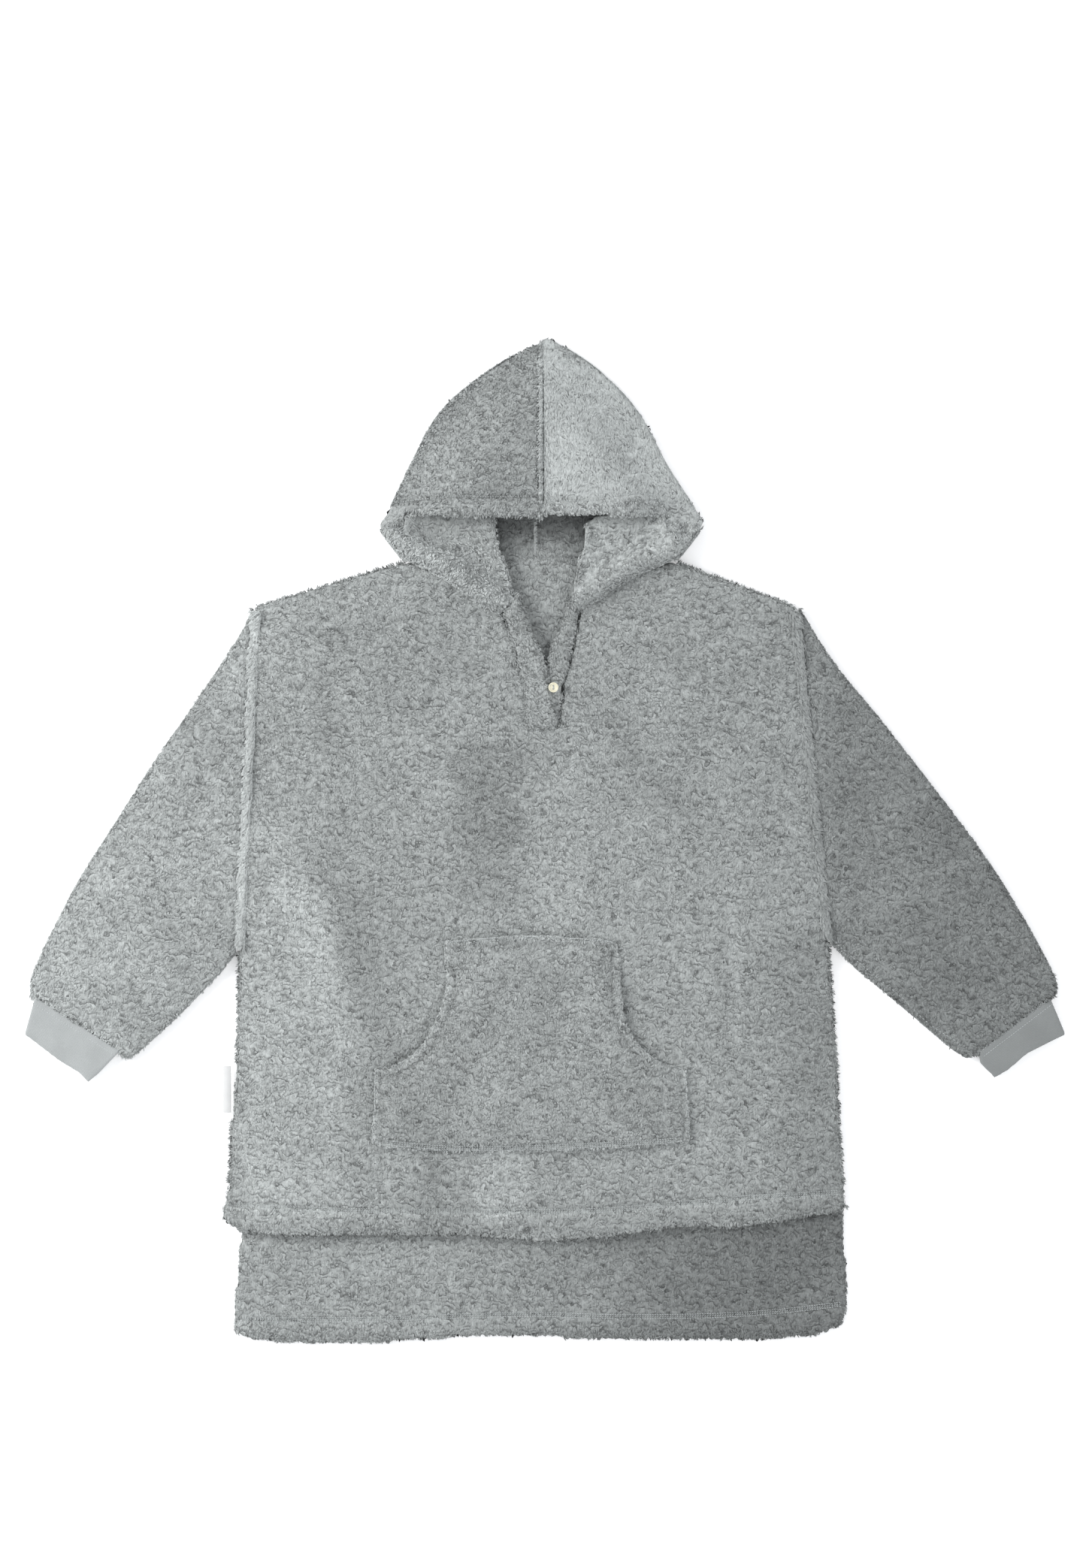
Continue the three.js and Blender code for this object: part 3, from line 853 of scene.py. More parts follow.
# %% Helpers: the height of a cloth, and rows of stitches
def surface_under(piece):
    bm = bmesh.new()
    bm.from_mesh(piece.data)
    tree = BVHTree.FromBMesh(bm)
    bm.free()

    def height(x, y, otherwise=0.0):
        hit = tree.ray_cast(Vector((x, y, 0.2)), Vector((0, 0, -1)))[0]
        return hit.z if hit else otherwise
    return height


def along_line(line, step):
    """Evenly spaced places and directions on a line of points in plan."""
    lengths = np.concatenate([[0], np.cumsum(np.linalg.norm(np.diff(line, axis=0), axis=1))])
    at = np.arange(step / 2, lengths[-1], step)
    places = np.stack([np.interp(at, lengths, line[:, k]) for k in (0, 1)], axis=1)
    return places, unit(np.gradient(places, axis=0))


def sew(bm, line, height, step=4.2, length=3.3, width=1.0, offset=0.0, slant=0.0, rise=0.6):
    """Adds one row of stitches to a bmesh, offset to the side of the line."""
    places, headings = along_line(line, step * MM)
    for place, heading in zip(places, headings):
        x, y = place + np.array([-heading[1], heading[0]]) * offset * MM
        turn = math.atan2(heading[1], heading[0]) + slant
        spot = Matrix.Translation((x, y, height(x, y) + rise * MM)) @ Matrix.Rotation(turn, 4, "Z")
        shape = Matrix.Diagonal((length * MM / 2, width * MM / 2, width * MM / 2, 1))
        bmesh.ops.create_icosphere(bm, subdivisions=1, radius=1, matrix=spot @ shape)


def stitching(name, rows, *nodes, body="torso", bend=None):
    """rows are (line, height, settings of sew). The piece stands for the frame's nodes."""
    bm = bmesh.new()
    for line, height, settings in rows:
        sew(bm, line, height, **settings)
    piece = bm_object(name, bm, thread)
    place(piece, "thread", body, bend)
    if nodes:
        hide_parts(*nodes)
    print(f"{name}: {len(piece.data.polygons)} faces")
    return piece


# %% [markdown]
# ## Placing the pieces
# The frame says where the garment folds. A piece that crosses a fold line has its transform baked into
# its points and is not bent; every other piece is hung from the empty of its body.


def place(piece, slot, body="torso", bend=None):
    if bend:
        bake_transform(piece)
    else:
        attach(piece, body)


def place_all(pieces, slot, body="torso", bend=None):
    for piece in pieces:
        place(piece, slot, body, bend)


# %% [markdown]
# ## Front
# The front panel, its free hem and the turned-up allowance behind it are one cloth, so the frame's three
# plates are joined again. It lies highest in the middle, comes down to meet the back at the side seams and
# shoulders, and dips at the row of hem stitching, below which the doubled hem swells again.

# %% Front cloth
MEETING = 10 * MM                   # the height at which front and back are sewn together
front_outline = outline_segments("front_panel")
seam_edges = those(front_outline, lambda x, y: (np.abs(x) > 0.31) & (y < -0.12) & (y > -0.41))
shoulder_edges = those(front_outline, lambda x, y: (y > 0.28) & (np.abs(x) > 0.15))
hem_row = midline("front_hem_stitching", 0)


def lower_to_seams(points, reach, share):
    """Brings both faces of the cloth towards the height of the seam, near the seam."""
    d = np.minimum(distance(points, seam_edges), distance(points, shoulder_edges))
    keep = share + (1 - share) * ease(d, 0, reach)
    points[:, 2] = MEETING + (points[:, 2] - MEETING) * keep


def below_hem_row(points):
    """How far a point lies below the row of hem stitching."""
    return np.interp(points[:, 0], hem_row[:, 0], hem_row[:, 1]) - points[:, 1]


def make_front():
    bm = cad_copy(
        "front_panel", "front_hem_panel", "front_hem_allowance",
        change={"front_hem_panel": close_slot(hem_fold_y, 3 * MM), "front_hem_allowance": moved(dz=0.8)})
    cloth = voxel_skin("front_cloth", bm, CLOTH_VOXEL, ground)
    soften(cloth, 4)
    points = get_points(cloth)
    points[:, 2] += 1.5 * MM * waves(points, 0.16, 11)
    lower_to_seams(points, 45 * MM, 0.5)
    down = below_hem_row(points)
    points[:, 2] -= 2.4 * MM * bump(down, 0, 6 * MM)
    points[:, 2] += 2.0 * MM * bump(down, 17 * MM, 14 * MM)
    set_points(cloth, points)
    return cloth


front_cloth = make_front()
front_height = surface_under(front_cloth)
print("front cloth", len(front_cloth.data.polygons), "squares")

# %% Front pile, sown in strips so that no piece grows too heavy
FRONT_STRIPS = 4
FRONT_HALF = 380 * MM
pocket_low, pocket_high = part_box("pocket_panel")


def on_front(points, normals):
    outside = (normals[:, 2] > -0.25) | (points[:, 1] < hem_fold_y - 0.03)
    inside_pocket = (points[:, 0] > pocket_low.x + 0.1) & (points[:, 0] < pocket_high.x - 0.1)
    inside_pocket &= (points[:, 1] > pocket_low.y + 0.015) & (points[:, 1] < pocket_high.y - 0.02)
    return outside & (points[:, 2] > 6 * MM) & ~inside_pocket


def calm_places(points):
    """The body's pile is smoother low on both sides, and curlier around the neck."""
    low = 1 - ease(points[:, 1], -0.15, 0.16)
    return 0.15 + 0.55 * low + 0.25 * waves(points, 0.12, 8)


def front_tone(points):
    # lighter on the left and darker on the right: painted light and shade, as the light comes from the left
    side = 1 - 0.05 * ease(points[:, 0], 0.1, 0.36) + 0.03 * (1 - ease(points[:, 0], -0.36, -0.15))
    down = below_hem_row(points)
    seam = 1 - 0.12 * bump(down, -5 * MM, 5 * MM) + 0.2 * bump(down, 1 * MM, 6 * MM)
    hem = 1 - 0.07 * ease(down, 4 * MM, 10 * MM)
    return brushed(points) * side * seam * hem


def front_nap(points):
    """Sideways around the neck and shoulders, downwards below."""
    down = 1 - ease(points[:, 1], -0.05, 0.25)
    turn = waves(points, 0.09, 3) * 0.7
    x, y = 0.75 * (1 - down) + 0.25 * down, -(0.35 + 0.65 * down)
    c, s = np.cos(turn), np.sin(turn)
    return np.stack([x * c - y * s, x * s + y * c, np.zeros(len(points))], axis=1)


HEM_FRINGE = {**FRINGE, "length": 13.0, "short": 8.0, "width": 0.9, "wander": 0.12}
front_pile = []
for strip in range(FRONT_STRIPS):
    low = FRONT_HALF * (2 * strip / FRONT_STRIPS - 1)
    high = low + FRONT_HALF * 2 / FRONT_STRIPS
    front_pile.append(grow_pile(
        f"front_pile_{strip + 1}", front_cloth,
        lambda p, n, low=low, high=high: on_front(p, n) & (p[:, 0] >= low) & (p[:, 0] < high),
        front_nap, CURLY, tone=front_tone, calm=calm_places, seed=20 + strip))

front_pile.append(grow_pile(
    "front_hem_fringe", front_cloth,
    lambda p, n: (below_hem_row(p) > 24 * MM) & (n[:, 1] < 0.1) & (n[:, 2] > -0.6),
    nap_towards(0.05, -1.0, -0.15, swirl=0.3), HEM_FRINGE, tone=front_tone, seed=31))
shade_skin(front_cloth, front_tone)
place_all([front_cloth, *front_pile], "fleece", bend="front_hem")
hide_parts("front_panel", "front_hem_panel", "front_hem_allowance")

# %% [markdown]
# ## Back
# The back is longer than the front, and its tail shows the fleece's other face, with the turned-up hem
# along its end and narrow hems at the side vents. Seen through the neck opening, the same cloth lines the
# inside of the shoulders.

# %% Back cloth and its pile
HEMS = ("back_hem", "left_vent_hem", "right_vent_hem")
tail_row = midline("back_hem_stitching", 0)


def make_back():
    change = {name: moved(dz=-0.9) for name in HEMS}
    cloth = voxel_skin("back_cloth", cad_copy("back_panel", *HEMS, change=change), 4.5 * MM, ground)
    soften(cloth, 4)
    points = get_points(cloth)
    above = ease(points[:, 2], 0, 5 * MM)
    free = 1 - ease(points[:, 1], -0.44, -0.38)
    points[:, 2] += above * free * 1.6 * MM * (1 + waves(points, 0.14, 5))
    rise = np.interp(points[:, 0], tail_row[:, 0], tail_row[:, 1]) - points[:, 1]
    points[:, 2] -= above * 1.6 * MM * bump(rise, 0, 5 * MM)
    points[:, 2] += above * 2.2 * MM * bump(rise, 14 * MM, 12 * MM)
    under_hood = 1 - ease(np.abs(points[:, 0]), 0.085, 0.11)
    points[:, 1] += under_hood * 9 * MM * ease(points[:, 1], neck_fold_y - 0.02, neck_fold_y)
    set_points(cloth, points)
    return cloth


back_cloth = make_back()
back_height = surface_under(back_cloth)


def tail_tone_and_shade(points):
    # painted shade, deepening towards the right, away from the light; paler along the row of hem stitching
    shade = 0.46 * ease(points[:, 0], -0.17, 0.29)
    row = np.interp(points[:, 0], tail_row[:, 0], tail_row[:, 1]) - points[:, 1]
    return 1 - shade + 0.1 * bump(row, 1 * MM, 5 * MM)


def tail_calm(points):
    return 0.75 + 0.3 * waves(points, 0.1, 9)


back_pile = [
    grow_pile("tail_pile", back_cloth, lambda p, n: (p[:, 1] < hem_fold_y - 0.01) & (n[:, 2] > -0.2),
              nap_towards(0.15, -1.0, swirl=0.6), CURLY, tone=tail_tone_and_shade, calm=tail_calm, seed=41),
    grow_pile("tail_fringe", back_cloth,
              lambda p, n: (p[:, 1] < -0.585) & (n[:, 1] < -0.1) & (n[:, 2] > -0.7),
              nap_towards(0.0, -1.0, swirl=0.3), FRINGE, tone=tail_tone_and_shade, seed=42),
    grow_pile("neck_pile", back_cloth,
              lambda p, n: (p[:, 1] > 0.15) & (np.abs(p[:, 0] - 0.005) < 0.068) & (n[:, 2] > 0.3),
              nap_towards(0.1, -1.0, swirl=0.2), SMOOTH, pile_inside,
              tone=lambda p: 1.04 * everywhere(p), seed=43),
    grow_pile("side_pile", back_cloth,
              lambda p, n: (np.abs(n[:, 0]) > 0.3) & (p[:, 1] > hem_fold_y - 0.01) & (np.abs(p[:, 0]) > 0.3),
              nap_towards(0.1, -1.0), FRINGE, seed=44),
]
back_under = grow_pile("back_underside_pile", back_cloth, lambda p, n: n[:, 2] < -0.55,
                       nap_towards(0.1, -1.0), UNDERSIDE, calm=tail_calm, seed=45)
back_pieces = [*back_pile, back_under]
shade_skin(back_cloth, lambda p: np.where(p[:, 1] < hem_fold_y, tail_tone_and_shade(p), 1.0))
place_all([back_cloth, *back_pieces], "fleece")
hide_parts("back_panel", *HEMS)

# %% [markdown]
# ## Joined edges
# Front and back are sewn together along the sides and shoulders. The seam lies between the two cloths, so a
# soft strip is enough; its pile closes the gap that would show from the side.

# %% Side and shoulder seams
OUT = {"left": -1, "right": 1}      # which way along X a side lies
EDGE_STYLE = {**SMOOTH, "length": 6.0, "short": 4.0}
LABEL_ROOM = 36 * MM                # no pile grows on the left edge this near to the label
label_y = sum(corner.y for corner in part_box("side_label")) / 2


def at_label(points):
    return (np.abs(points[:, 1] - label_y) < LABEL_ROOM) & (points[:, 0] < 0)


def make_edge(side, kind, outer, heading):
    """outer picks the faces of the seam's strip that show from the side."""
    strip = voxel_skin(f"{side}_{kind}_edge", cad_copy(f"{side}_{kind}_seam"), 3.0 * MM, ground)
    soften(strip, 2)
    fluff = grow_pile(f"{side}_{kind}_edge_pile", strip, lambda p, n: outer(n) & ~at_label(p),
                      nap_towards(*heading), EDGE_STYLE, seed=51)
    place_all([strip, fluff], "fleece_inside")
    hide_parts(f"{side}_{kind}_seam")


for side, out in OUT.items():
    make_edge(side, "side", lambda n: n[:, 0] * out > 0.2, (out, -0.3))
    make_edge(side, "shoulder", lambda n: n[:, 1] > 0.2, (out * 0.2, 1.0))
print("edges ready")

# %% [markdown]
# ## Armholes
# Where the sleeve joins, the body's edge is pushed up into a low roll that lies over the seam. It is made
# from the frame's narrow band, widened and let down into the body.

# %% Armhole rolls
ROLL_WIDTH = 3.0                    # the roll is this many times wider than the frame's band of stitching
# painted highlight on the left roll, which faces the light, and painted shade on the right one, which faces
# away
ROLL_LIGHT_AND_SHADE = {"left": 1.28, "right": 0.82}


def make_armhole(side):
    out = OUT[side]
    node = f"{side}_armhole_seam"
    line = midline(node, 1)

    def widen(bm):
        for v in bm.verts:
            middle = np.interp(v.co.y, line[:, 1], line[:, 0])
            v.co.x = middle + (v.co.x - middle) * ROLL_WIDTH + out * 1.5 * MM
            if v.co.z < 21 * MM:
                v.co.z = 17 * MM

    roll = voxel_skin(f"{side}_armhole_roll", cad_copy(node, change={node: widen}), 3.0 * MM, ground)
    soften(roll, 3)
    points = get_points(roll)
    points[:, 2] += 1.2 * MM * waves(points, 0.1, 61)
    set_points(roll, points)
    tone = lambda p: ROLL_LIGHT_AND_SHADE[side] * everywhere(p)
    fluff = grow_pile(f"{side}_armhole_pile", roll, lambda p, n: n[:, 2] > -0.1,
                      nap_towards(out * 0.6, -0.8, swirl=0.3), SMOOTH, pile_smooth, tone=tone, seed=62)
    shade_skin(roll, tone)
    place_all([roll, fluff], "fleece")
    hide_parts(node)


for side in OUT:
    make_armhole(side)
print("armholes ready")

# %% [markdown]
# ## Sleeves
# A sleeve lies flat as two plies. It is highest along its middle and thins out to a soft fold at both
# edges. Its pile runs down the arm, and a fringe of it hangs over the start of the cuff.

# %% Sleeve cloths and pile
SLEEVE_MIDDLE = 10 * MM
OPENING = 1.5                       # how much further apart the plies are while they are remeshed
WRIST_FRINGE = {**FRINGE, "length": 11.0, "short": 7.0}
# painted light and shade: the left sleeve is made lighter as it faces the light, the right one darker as it
# lies in shade
SLEEVE_LIGHT_AND_SHADE = {"left": 1.06, "right": 0.72}


def arm_direction(side):
    angle = arm_angle(side)
    return math.cos(angle), math.sin(angle)


def opened(bm):
    """The two plies are drawn apart for the remesh, which would otherwise close the thin air between them."""
    for v in bm.verts:
        v.co.z *= OPENING


def make_sleeve(side):
    node = f"{side}_sleeve"
    cloth = voxel_skin(f"{side}_sleeve_cloth", cad_copy(node, change={node: opened}), CLOTH_VOXEL, ground)
    soften(cloth, 4)
    free_edges = those(outline_segments(node), lambda x, y: ~((np.abs(x) < 0.36) & (np.abs(y - 0.05) < 0.15)))
    points = get_points(cloth)
    points[:, 2] /= OPENING
    thin = 0.5 + 0.5 * ease(distance(points, free_edges), 0, 45 * MM)
    points[:, 2] = SLEEVE_MIDDLE + (points[:, 2] - SLEEVE_MIDDLE) * thin
    points[:, 2] += ease(points[:, 2], 8 * MM, 16 * MM) * 1.5 * MM * waves(points, 0.12, 71)
    set_points(cloth, points)

    heading = arm_direction(side)
    wrist = midline(f"{side}_cuff_seam", 0)

    def at_wrist(points):
        return distance(points, chain(wrist))

    # painted light on the left sleeve, growing towards the wrist, and painted shade on the right one,
    # deepening towards the wrist
    def tone(points):
        reach = np.abs(points[:, 0]) - 0.34
        if side == "left":
            return SLEEVE_LIGHT_AND_SHADE[side] * (1 + 0.10 * ease(reach, 0.05, 0.22) + 0.08 * waves(points, 0.11, 72))
        return SLEEVE_LIGHT_AND_SHADE[side] * (1 - 0.12 * ease(reach, 0.02, 0.16) + 0.06 * waves(points, 0.11, 73))

    def calm(points):
        return 0.6 + 0.3 * waves(points, 0.1, 74)

    top = grow_pile(f"{side}_sleeve_pile", cloth,
                    lambda p, n: (n[:, 2] > -0.3) & (at_wrist(p) > 4 * MM) & outside(p, n),
                    nap_towards(*heading, swirl=0.5), CURLY, tone=tone, calm=calm, seed=75)
    fringe = grow_pile(f"{side}_wrist_fringe", cloth,
                       lambda p, n: (at_wrist(p) < 9 * MM) & (n[:, 2] > -0.5) & outside(p, n),
                       nap_towards(*heading, swirl=0.3), WRIST_FRINGE, tone=tone, seed=76)
    under = grow_pile(f"{side}_sleeve_underside_pile", cloth,
                      lambda p, n: (n[:, 2] < -0.3) & (p[:, 2] < 5 * MM),
                      nap_towards(*heading, swirl=0.5), UNDERSIDE, tone=tone, calm=calm, seed=77)
    shade_skin(cloth, tone)
    place_all([cloth, top, fringe, under], "fleece", bend=f"sleeve_{side}")
    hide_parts(node)
    return cloth


def outside(points, normals):
    """Leaves out the inner faces of the flattened tube."""
    inner_top = (normals[:, 2] < -0.3) & (points[:, 2] > 9 * MM)
    inner_low = (normals[:, 2] > 0.3) & (points[:, 2] < 9 * MM)
    return ~(inner_top | inner_low)


sleeves = {side: make_sleeve(side) for side in ("left", "right")}

# %% [markdown]
# ## Cuffs
# The cuffs are knitted jersey, much thinner than the fleece: a flattened tube, with columns of stitches
# along the arm. Two rows of thread join it to the sleeve.

# %% Cuffs
INTO_SLEEVE = 8 * MM
CUFF_STITCH = {"step": 3.4, "length": 2.8, "width": 0.8, "rise": 0.05}


def make_cuff(side):
    seam = midline(f"{side}_cuff_seam", 0)
    heading = arm_direction(side)

    def into_sleeve(bm):
        """The cuff reaches a little into the sleeve, so that no gap opens at the seam."""
        near = distance(np.array([v.co for v in bm.verts]), chain(seam)) < 6 * MM
        for v, is_near in zip(bm.verts, near):
            if is_near:
                v.co -= Vector((*heading, 0)) * INTO_SLEEVE

    node = f"{side}_cuff"
    tube = cad_copy(node, change={node: into_sleeve})
    cuff = voxel_skin(f"{side}_cuff_cloth", tube, 1.7 * MM, jerseys[side])
    soften(cuff, 3)
    points = get_points(cuff)
    points[:, 2] += ease(points[:, 2], 5 * MM, 14 * MM) * 1.1 * MM * waves(points, 0.05, 81)
    set_points(cuff, points)
    place(cuff, "jersey", body=f"sleeve_{side}")
    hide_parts(node)
    height = surface_under(cuff)
    rows = [(seam, lambda x, y: height(x, y, 16 * MM), {**CUFF_STITCH, "offset": o}) for o in (-3.4, 3.4)]
    stitching(f"{side}_cuff_stitches", rows, f"{side}_cuff_seam", body=f"sleeve_{side}")

    sleeve_height = surface_under(sleeves[side])
    arm_seam = midline(f"{side}_underarm_seam", 0)
    rows = [(arm_seam, lambda x, y: sleeve_height(x, y, 18 * MM), {"step": 5.0, "rise": 0.4, "width": 0.9})]
    stitching(f"{side}_underarm_stitches", rows, f"{side}_underarm_seam", body=f"sleeve_{side}")


for side in OUT:
    make_cuff(side)
print("cuffs ready")

# %% [markdown]
# ## Pouch pocket
# The pocket is sewn flat to the front along its top, its bottom and the lower part of both sides, and
# stands free along two curved openings, whose edges are turned in and stitched a finger's width back.

# %% Pocket cloth, pile and stitching
POCKET_NODES = (
    "pocket_panel", "pocket_top_seam", "pocket_bottom_seam", "pocket_left_seam", "pocket_right_seam",
    "pocket_left_facing", "pocket_right_facing",
)
pocket_outline = outline_segments("pocket_panel")
opening_top, opening_low = pocket_high.y - 30 * MM, pocket_low.y + 100 * MM
opening_edges = those(pocket_outline, lambda x, y: (y < opening_top) & (y > opening_low))
sewn_edges = those(pocket_outline, lambda x, y: (y >= opening_top) | (y <= opening_low))
FACING = 11 * MM


def make_pocket():
    cloth = voxel_skin("pocket_cloth", cad_copy("pocket_panel"), 3.6 * MM, ground)
    soften(cloth, 3)
    points = get_points(cloth)
    sewn = distance(points, sewn_edges)
    opening = distance(points, opening_edges)
    points[:, 2] -= 6.5 * MM * (1 - ease(sewn, 0, 40 * MM)) + 2.5 * MM * (1 - ease(opening, 0, 30 * MM))
    points[:, 2] -= 1.6 * MM * bump(opening, FACING, 4 * MM) + 1.3 * MM * bump(sewn, 7 * MM, 4 * MM)
    points[:, 2] += 1.2 * MM * waves(points, 0.11, 91)
    set_points(cloth, points)
    return cloth


pocket_cloth = make_pocket()
pocket_height = surface_under(pocket_cloth)


def pocket_tone(points):
    sewn = distance(points, sewn_edges)
    opening = distance(points, opening_edges)
    # the dark bands are painted shade in the grooves where the stitching pulls the cloth down; the edges are
    # made paler
    rim = 0.22 * (1 - ease(sewn, 2 * MM, 6 * MM)) - 0.12 * bump(sewn, 8 * MM, 4 * MM)
    facing = 0.12 * (1 - ease(opening, 3 * MM, 9 * MM)) - 0.2 * bump(opening, FACING, 4 * MM)
    return brushed(points) * (1 + rim + facing)


def pocket_calm(points):
    rim = 1 - ease(np.minimum(distance(points, sewn_edges), distance(points, opening_edges)), 4 * MM, 9 * MM)
    return np.maximum(rim, 0.45 + 0.35 * waves(points, 0.09, 92))


pocket_pile = grow_pile(
    "pocket_pile", pocket_cloth, lambda p, n: n[:, 2] > -0.3, nap_towards(0.25, -1.0, swirl=0.6), CURLY,
    tone=pocket_tone, calm=pocket_calm, seed=93)
shade_skin(pocket_cloth, pocket_tone)
place_all([pocket_cloth, pocket_pile], "fleece")
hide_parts(*POCKET_NODES)


def inset(line, x=0.0, y=0.0):
    return line + np.array([x, y]) * MM


top_line = inset(midline("pocket_top_seam", 0), y=3)
bottom_line = midline("pocket_bottom_seam", 0)
left_line = inset(midline("pocket_left_seam", 1), x=-3)
right_line = inset(midline("pocket_right_seam", 1), x=3)
COVER = {"step": 3.0, "length": 2.6, "width": 0.8, "rise": 2.2}
ZIGZAG = {"step": 3.0, "length": 3.6, "width": 0.6, "rise": 1.9, "slant": 0.9}
stitching("pocket_stitches", [
    (top_line, pocket_height, {**COVER, "width": 1.1}),
    (bottom_line, pocket_height, {**COVER, "offset": 2.3}),
    (bottom_line, pocket_height, {**COVER, "offset": -2.3}),
    (bottom_line, pocket_height, ZIGZAG),
    (left_line, pocket_height, COVER),
    (right_line, pocket_height, COVER),
])

# %% [markdown]
# ## Hem stitching
# Both hems are sewn with two rows of thread and a zigzag between them, half lost in the pile.

# %% Hem and neck stitching
for name, line, height, node, bend in (
    ("front_hem_stitches", hem_row, front_height, "front_hem_stitching", "front_hem"),
    ("back_hem_stitches", tail_row, back_height, "back_hem_stitching", None),
):
    rows = [(line, height, {**COVER, "offset": offset, "rise": 1.7}) for offset in (-2.4, 2.4)]
    stitching(name, [*rows, (line, height, {**ZIGZAG, "rise": 1.4})], node, bend=bend)

neck_seam_line = midline("back_neck_seam", 0)
neck_rows = [(neck_seam_line, back_height, {**COVER, "rise": 1.4, "slant": 1.2})]
stitching("neck_stitches", neck_rows, "back_neck_seam")

# %% [markdown]
# ## Hood
# The hood lies on its back with its face opening up. Each half is one cloth from the peak down to the neck:
# the roof over the cavity, the brim that is turned back on it, and the cheek, whose edge rolls outward over
# the shoulder as a lapel. The frame's plates for these are joined, and their flat top is then bent into
# shape: low along the outline, high at the brim, a thick roll along the cheek's outer edge and a hollow
# behind it.

# %% Shape of the hood
HOOD_FLOOR = 8 * MM                 # heights below this belong to the back of the hood and stay
HOOD_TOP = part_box("hood_left_panel")[1].z
NECK_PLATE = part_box("left_lapel")[0].z
BRIM_Y = 383 * MM                   # the roof lies above this line, the cheeks below it
STITCHED = 16 * MM                  # how far above the middle of the brim its stitching runs
panel_edges = outline_segments("hood_left_panel", "hood_right_panel")
roof_edges = those(panel_edges, lambda x, y: (y > 0.385) & (np.abs(x) > 0.004) | (np.abs(x) > 0.1745))
corner_edges = those(
    panel_edges, lambda x, y: (np.abs(x) > 0.15) & (y < 0.362) & (y > 0.3365) | (np.abs(x) > 0.1775))
lapel_edges = np.concatenate([
    those(outline_segments("left_lapel"), lambda x, y: (x < -0.043) & (y < 0.333)),
    those(outline_segments("right_lapel"), lambda x, y: (x > 0.053) & (y < 0.333)),
])
cheek_edges = np.concatenate([corner_edges, lapel_edges])
brim_line = np.concatenate([midline("hood_left_brim", 0), midline("hood_right_brim", 0)])


def above_brim(points):
    return points[:, 1] - np.interp(points[:, 0], brim_line[:, 0], brim_line[:, 1])


def roof_height(points):
    edge = distance(points, roof_edges)
    up = above_brim(points)
    height = 15 + 25 * ease(edge, 0, 75 * MM) - 7 * ease(points[:, 1], 0.43, 0.60)
    fade = 1 - 0.55 * ease(points[:, 0], 0.03, 0.12)
    height += 3.2 * bump(up, -2 * MM, 15 * MM) - 2.8 * fade * bump(up, STITCHED, 6 * MM)
    return height * MM


def cheek_height(points):
    edge = distance(points, cheek_edges) / MM
    profile = np.interp(edge, (0, 4, 11, 19, 27, 37, 55, 75), (24, 33, 40, 39, 31, 24, 25, 30))
    under_brim = ease(points[:, 1], 0.350, 0.376) * ease(edge, 8, 25)
    end = 1 - ease(points[:, 1], 0.268, 0.305)
    return (profile - 8 * under_brim - 8 * end) * MM


def shape_hood(points, lift=0.0):
    """Bends the plates of the hood, and leans the middle seam towards the peak."""
    x, y, z = points.T
    roof = y > BRIM_Y
    corner = ease(np.abs(x), 0.118, 0.142)
    above = (1 - corner) * roof + corner * ease(y, 0.362, 0.394)
    floor = np.where(roof, HOOD_FLOOR, HOOD_FLOOR + (NECK_PLATE - HOOD_FLOOR) * (1 - ease(y, 0.331, 0.341)))
    share = (z - floor) / (HOOD_TOP - floor)
    height = above * roof_height(points) + (1 - above) * cheek_height(points) + lift
    bent = floor + share * (height - floor)
    upper = z > floor
    points[:, 2] = np.where(upper, bent, z)
    inner_cheek = upper & ~roof & (np.abs(x) < 0.155) & (y > 0.345)
    points[:, 1] = y + np.where(inner_cheek, 20 * MM * ease(y, 0.345, 0.372), 0)
    points[:, 0] = x + np.where(roof, 7 * MM * (1 - ease(np.abs(x), 0, 0.12)), 0)
    points[:, 2] += np.where(upper, 1.0 * MM * waves(points, 0.12, 101), 0)


def raise_lapel(bm):
    for v in bm.verts:
        if v.co.z > 25 * MM:
            v.co.z = HOOD_TOP
        if v.co.y > neck_fold_y - 2 * MM:
            v.co.y += 3.5 * MM


def reach_middle(bm):
    for v in bm.verts:
        if abs(v.co.x) < 5 * MM:
            v.co.x = 0.0
        if v.co.z > HOOD_TOP:
            v.co.z -= 0.8 * MM


def panel_to_middle(bm):
    for v in bm.verts:
        if abs(v.co.x) < 4 * MM:
            v.co.x *= 0.15 if v.co.z > HOOD_FLOOR + 1 * MM else -0.5


PLUG_PLACE = (0.168, 0.376)         # a plug fills each corner between brim and cheek
PLUG_RADII = (20 * MM, 12 * MM, 7 * MM)


def make_hood(side):
    panel, lapel, brim = f"hood_{side}_panel", f"{side}_lapel", f"hood_{side}_brim"
    change = {lapel: raise_lapel, brim: reach_middle, panel: panel_to_middle}
    bm = cad_copy(panel, lapel, brim, change=change)
    plug = Matrix.Translation((OUT[side] * PLUG_PLACE[0], PLUG_PLACE[1], HOOD_TOP - PLUG_RADII[2]))
    plug @= Matrix.Diagonal((*PLUG_RADII, 1))
    bmesh.ops.create_icosphere(bm, subdivisions=3, radius=1, matrix=plug)
    cloth = voxel_skin(f"hood_{side}_cloth", bm, 4.0 * MM, ground)
    soften(cloth, 3)
    points = get_points(cloth)
    shape_hood(points)
    set_points(cloth, points)
    soften(cloth, 1)
    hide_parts(panel, lapel, brim)
    return cloth


hood = {side: make_hood(side) for side in ("left", "right")}
print("hood cloths", [len(cloth.data.polygons) for cloth in hood.values()])

# %% [markdown]
# The two halves of the hood were brushed differently: the left one is curly, the right one stroked smooth.
# The brim and the rolled cheeks carry the longest pile, which falls outwards over their edges.

# %% Pile of the hood
DENSE_CURLS = {**CURLY, "length": 6.0, "short": 2.2, "width": 1.0, "tuft": 5.0, "wander": 0.7}


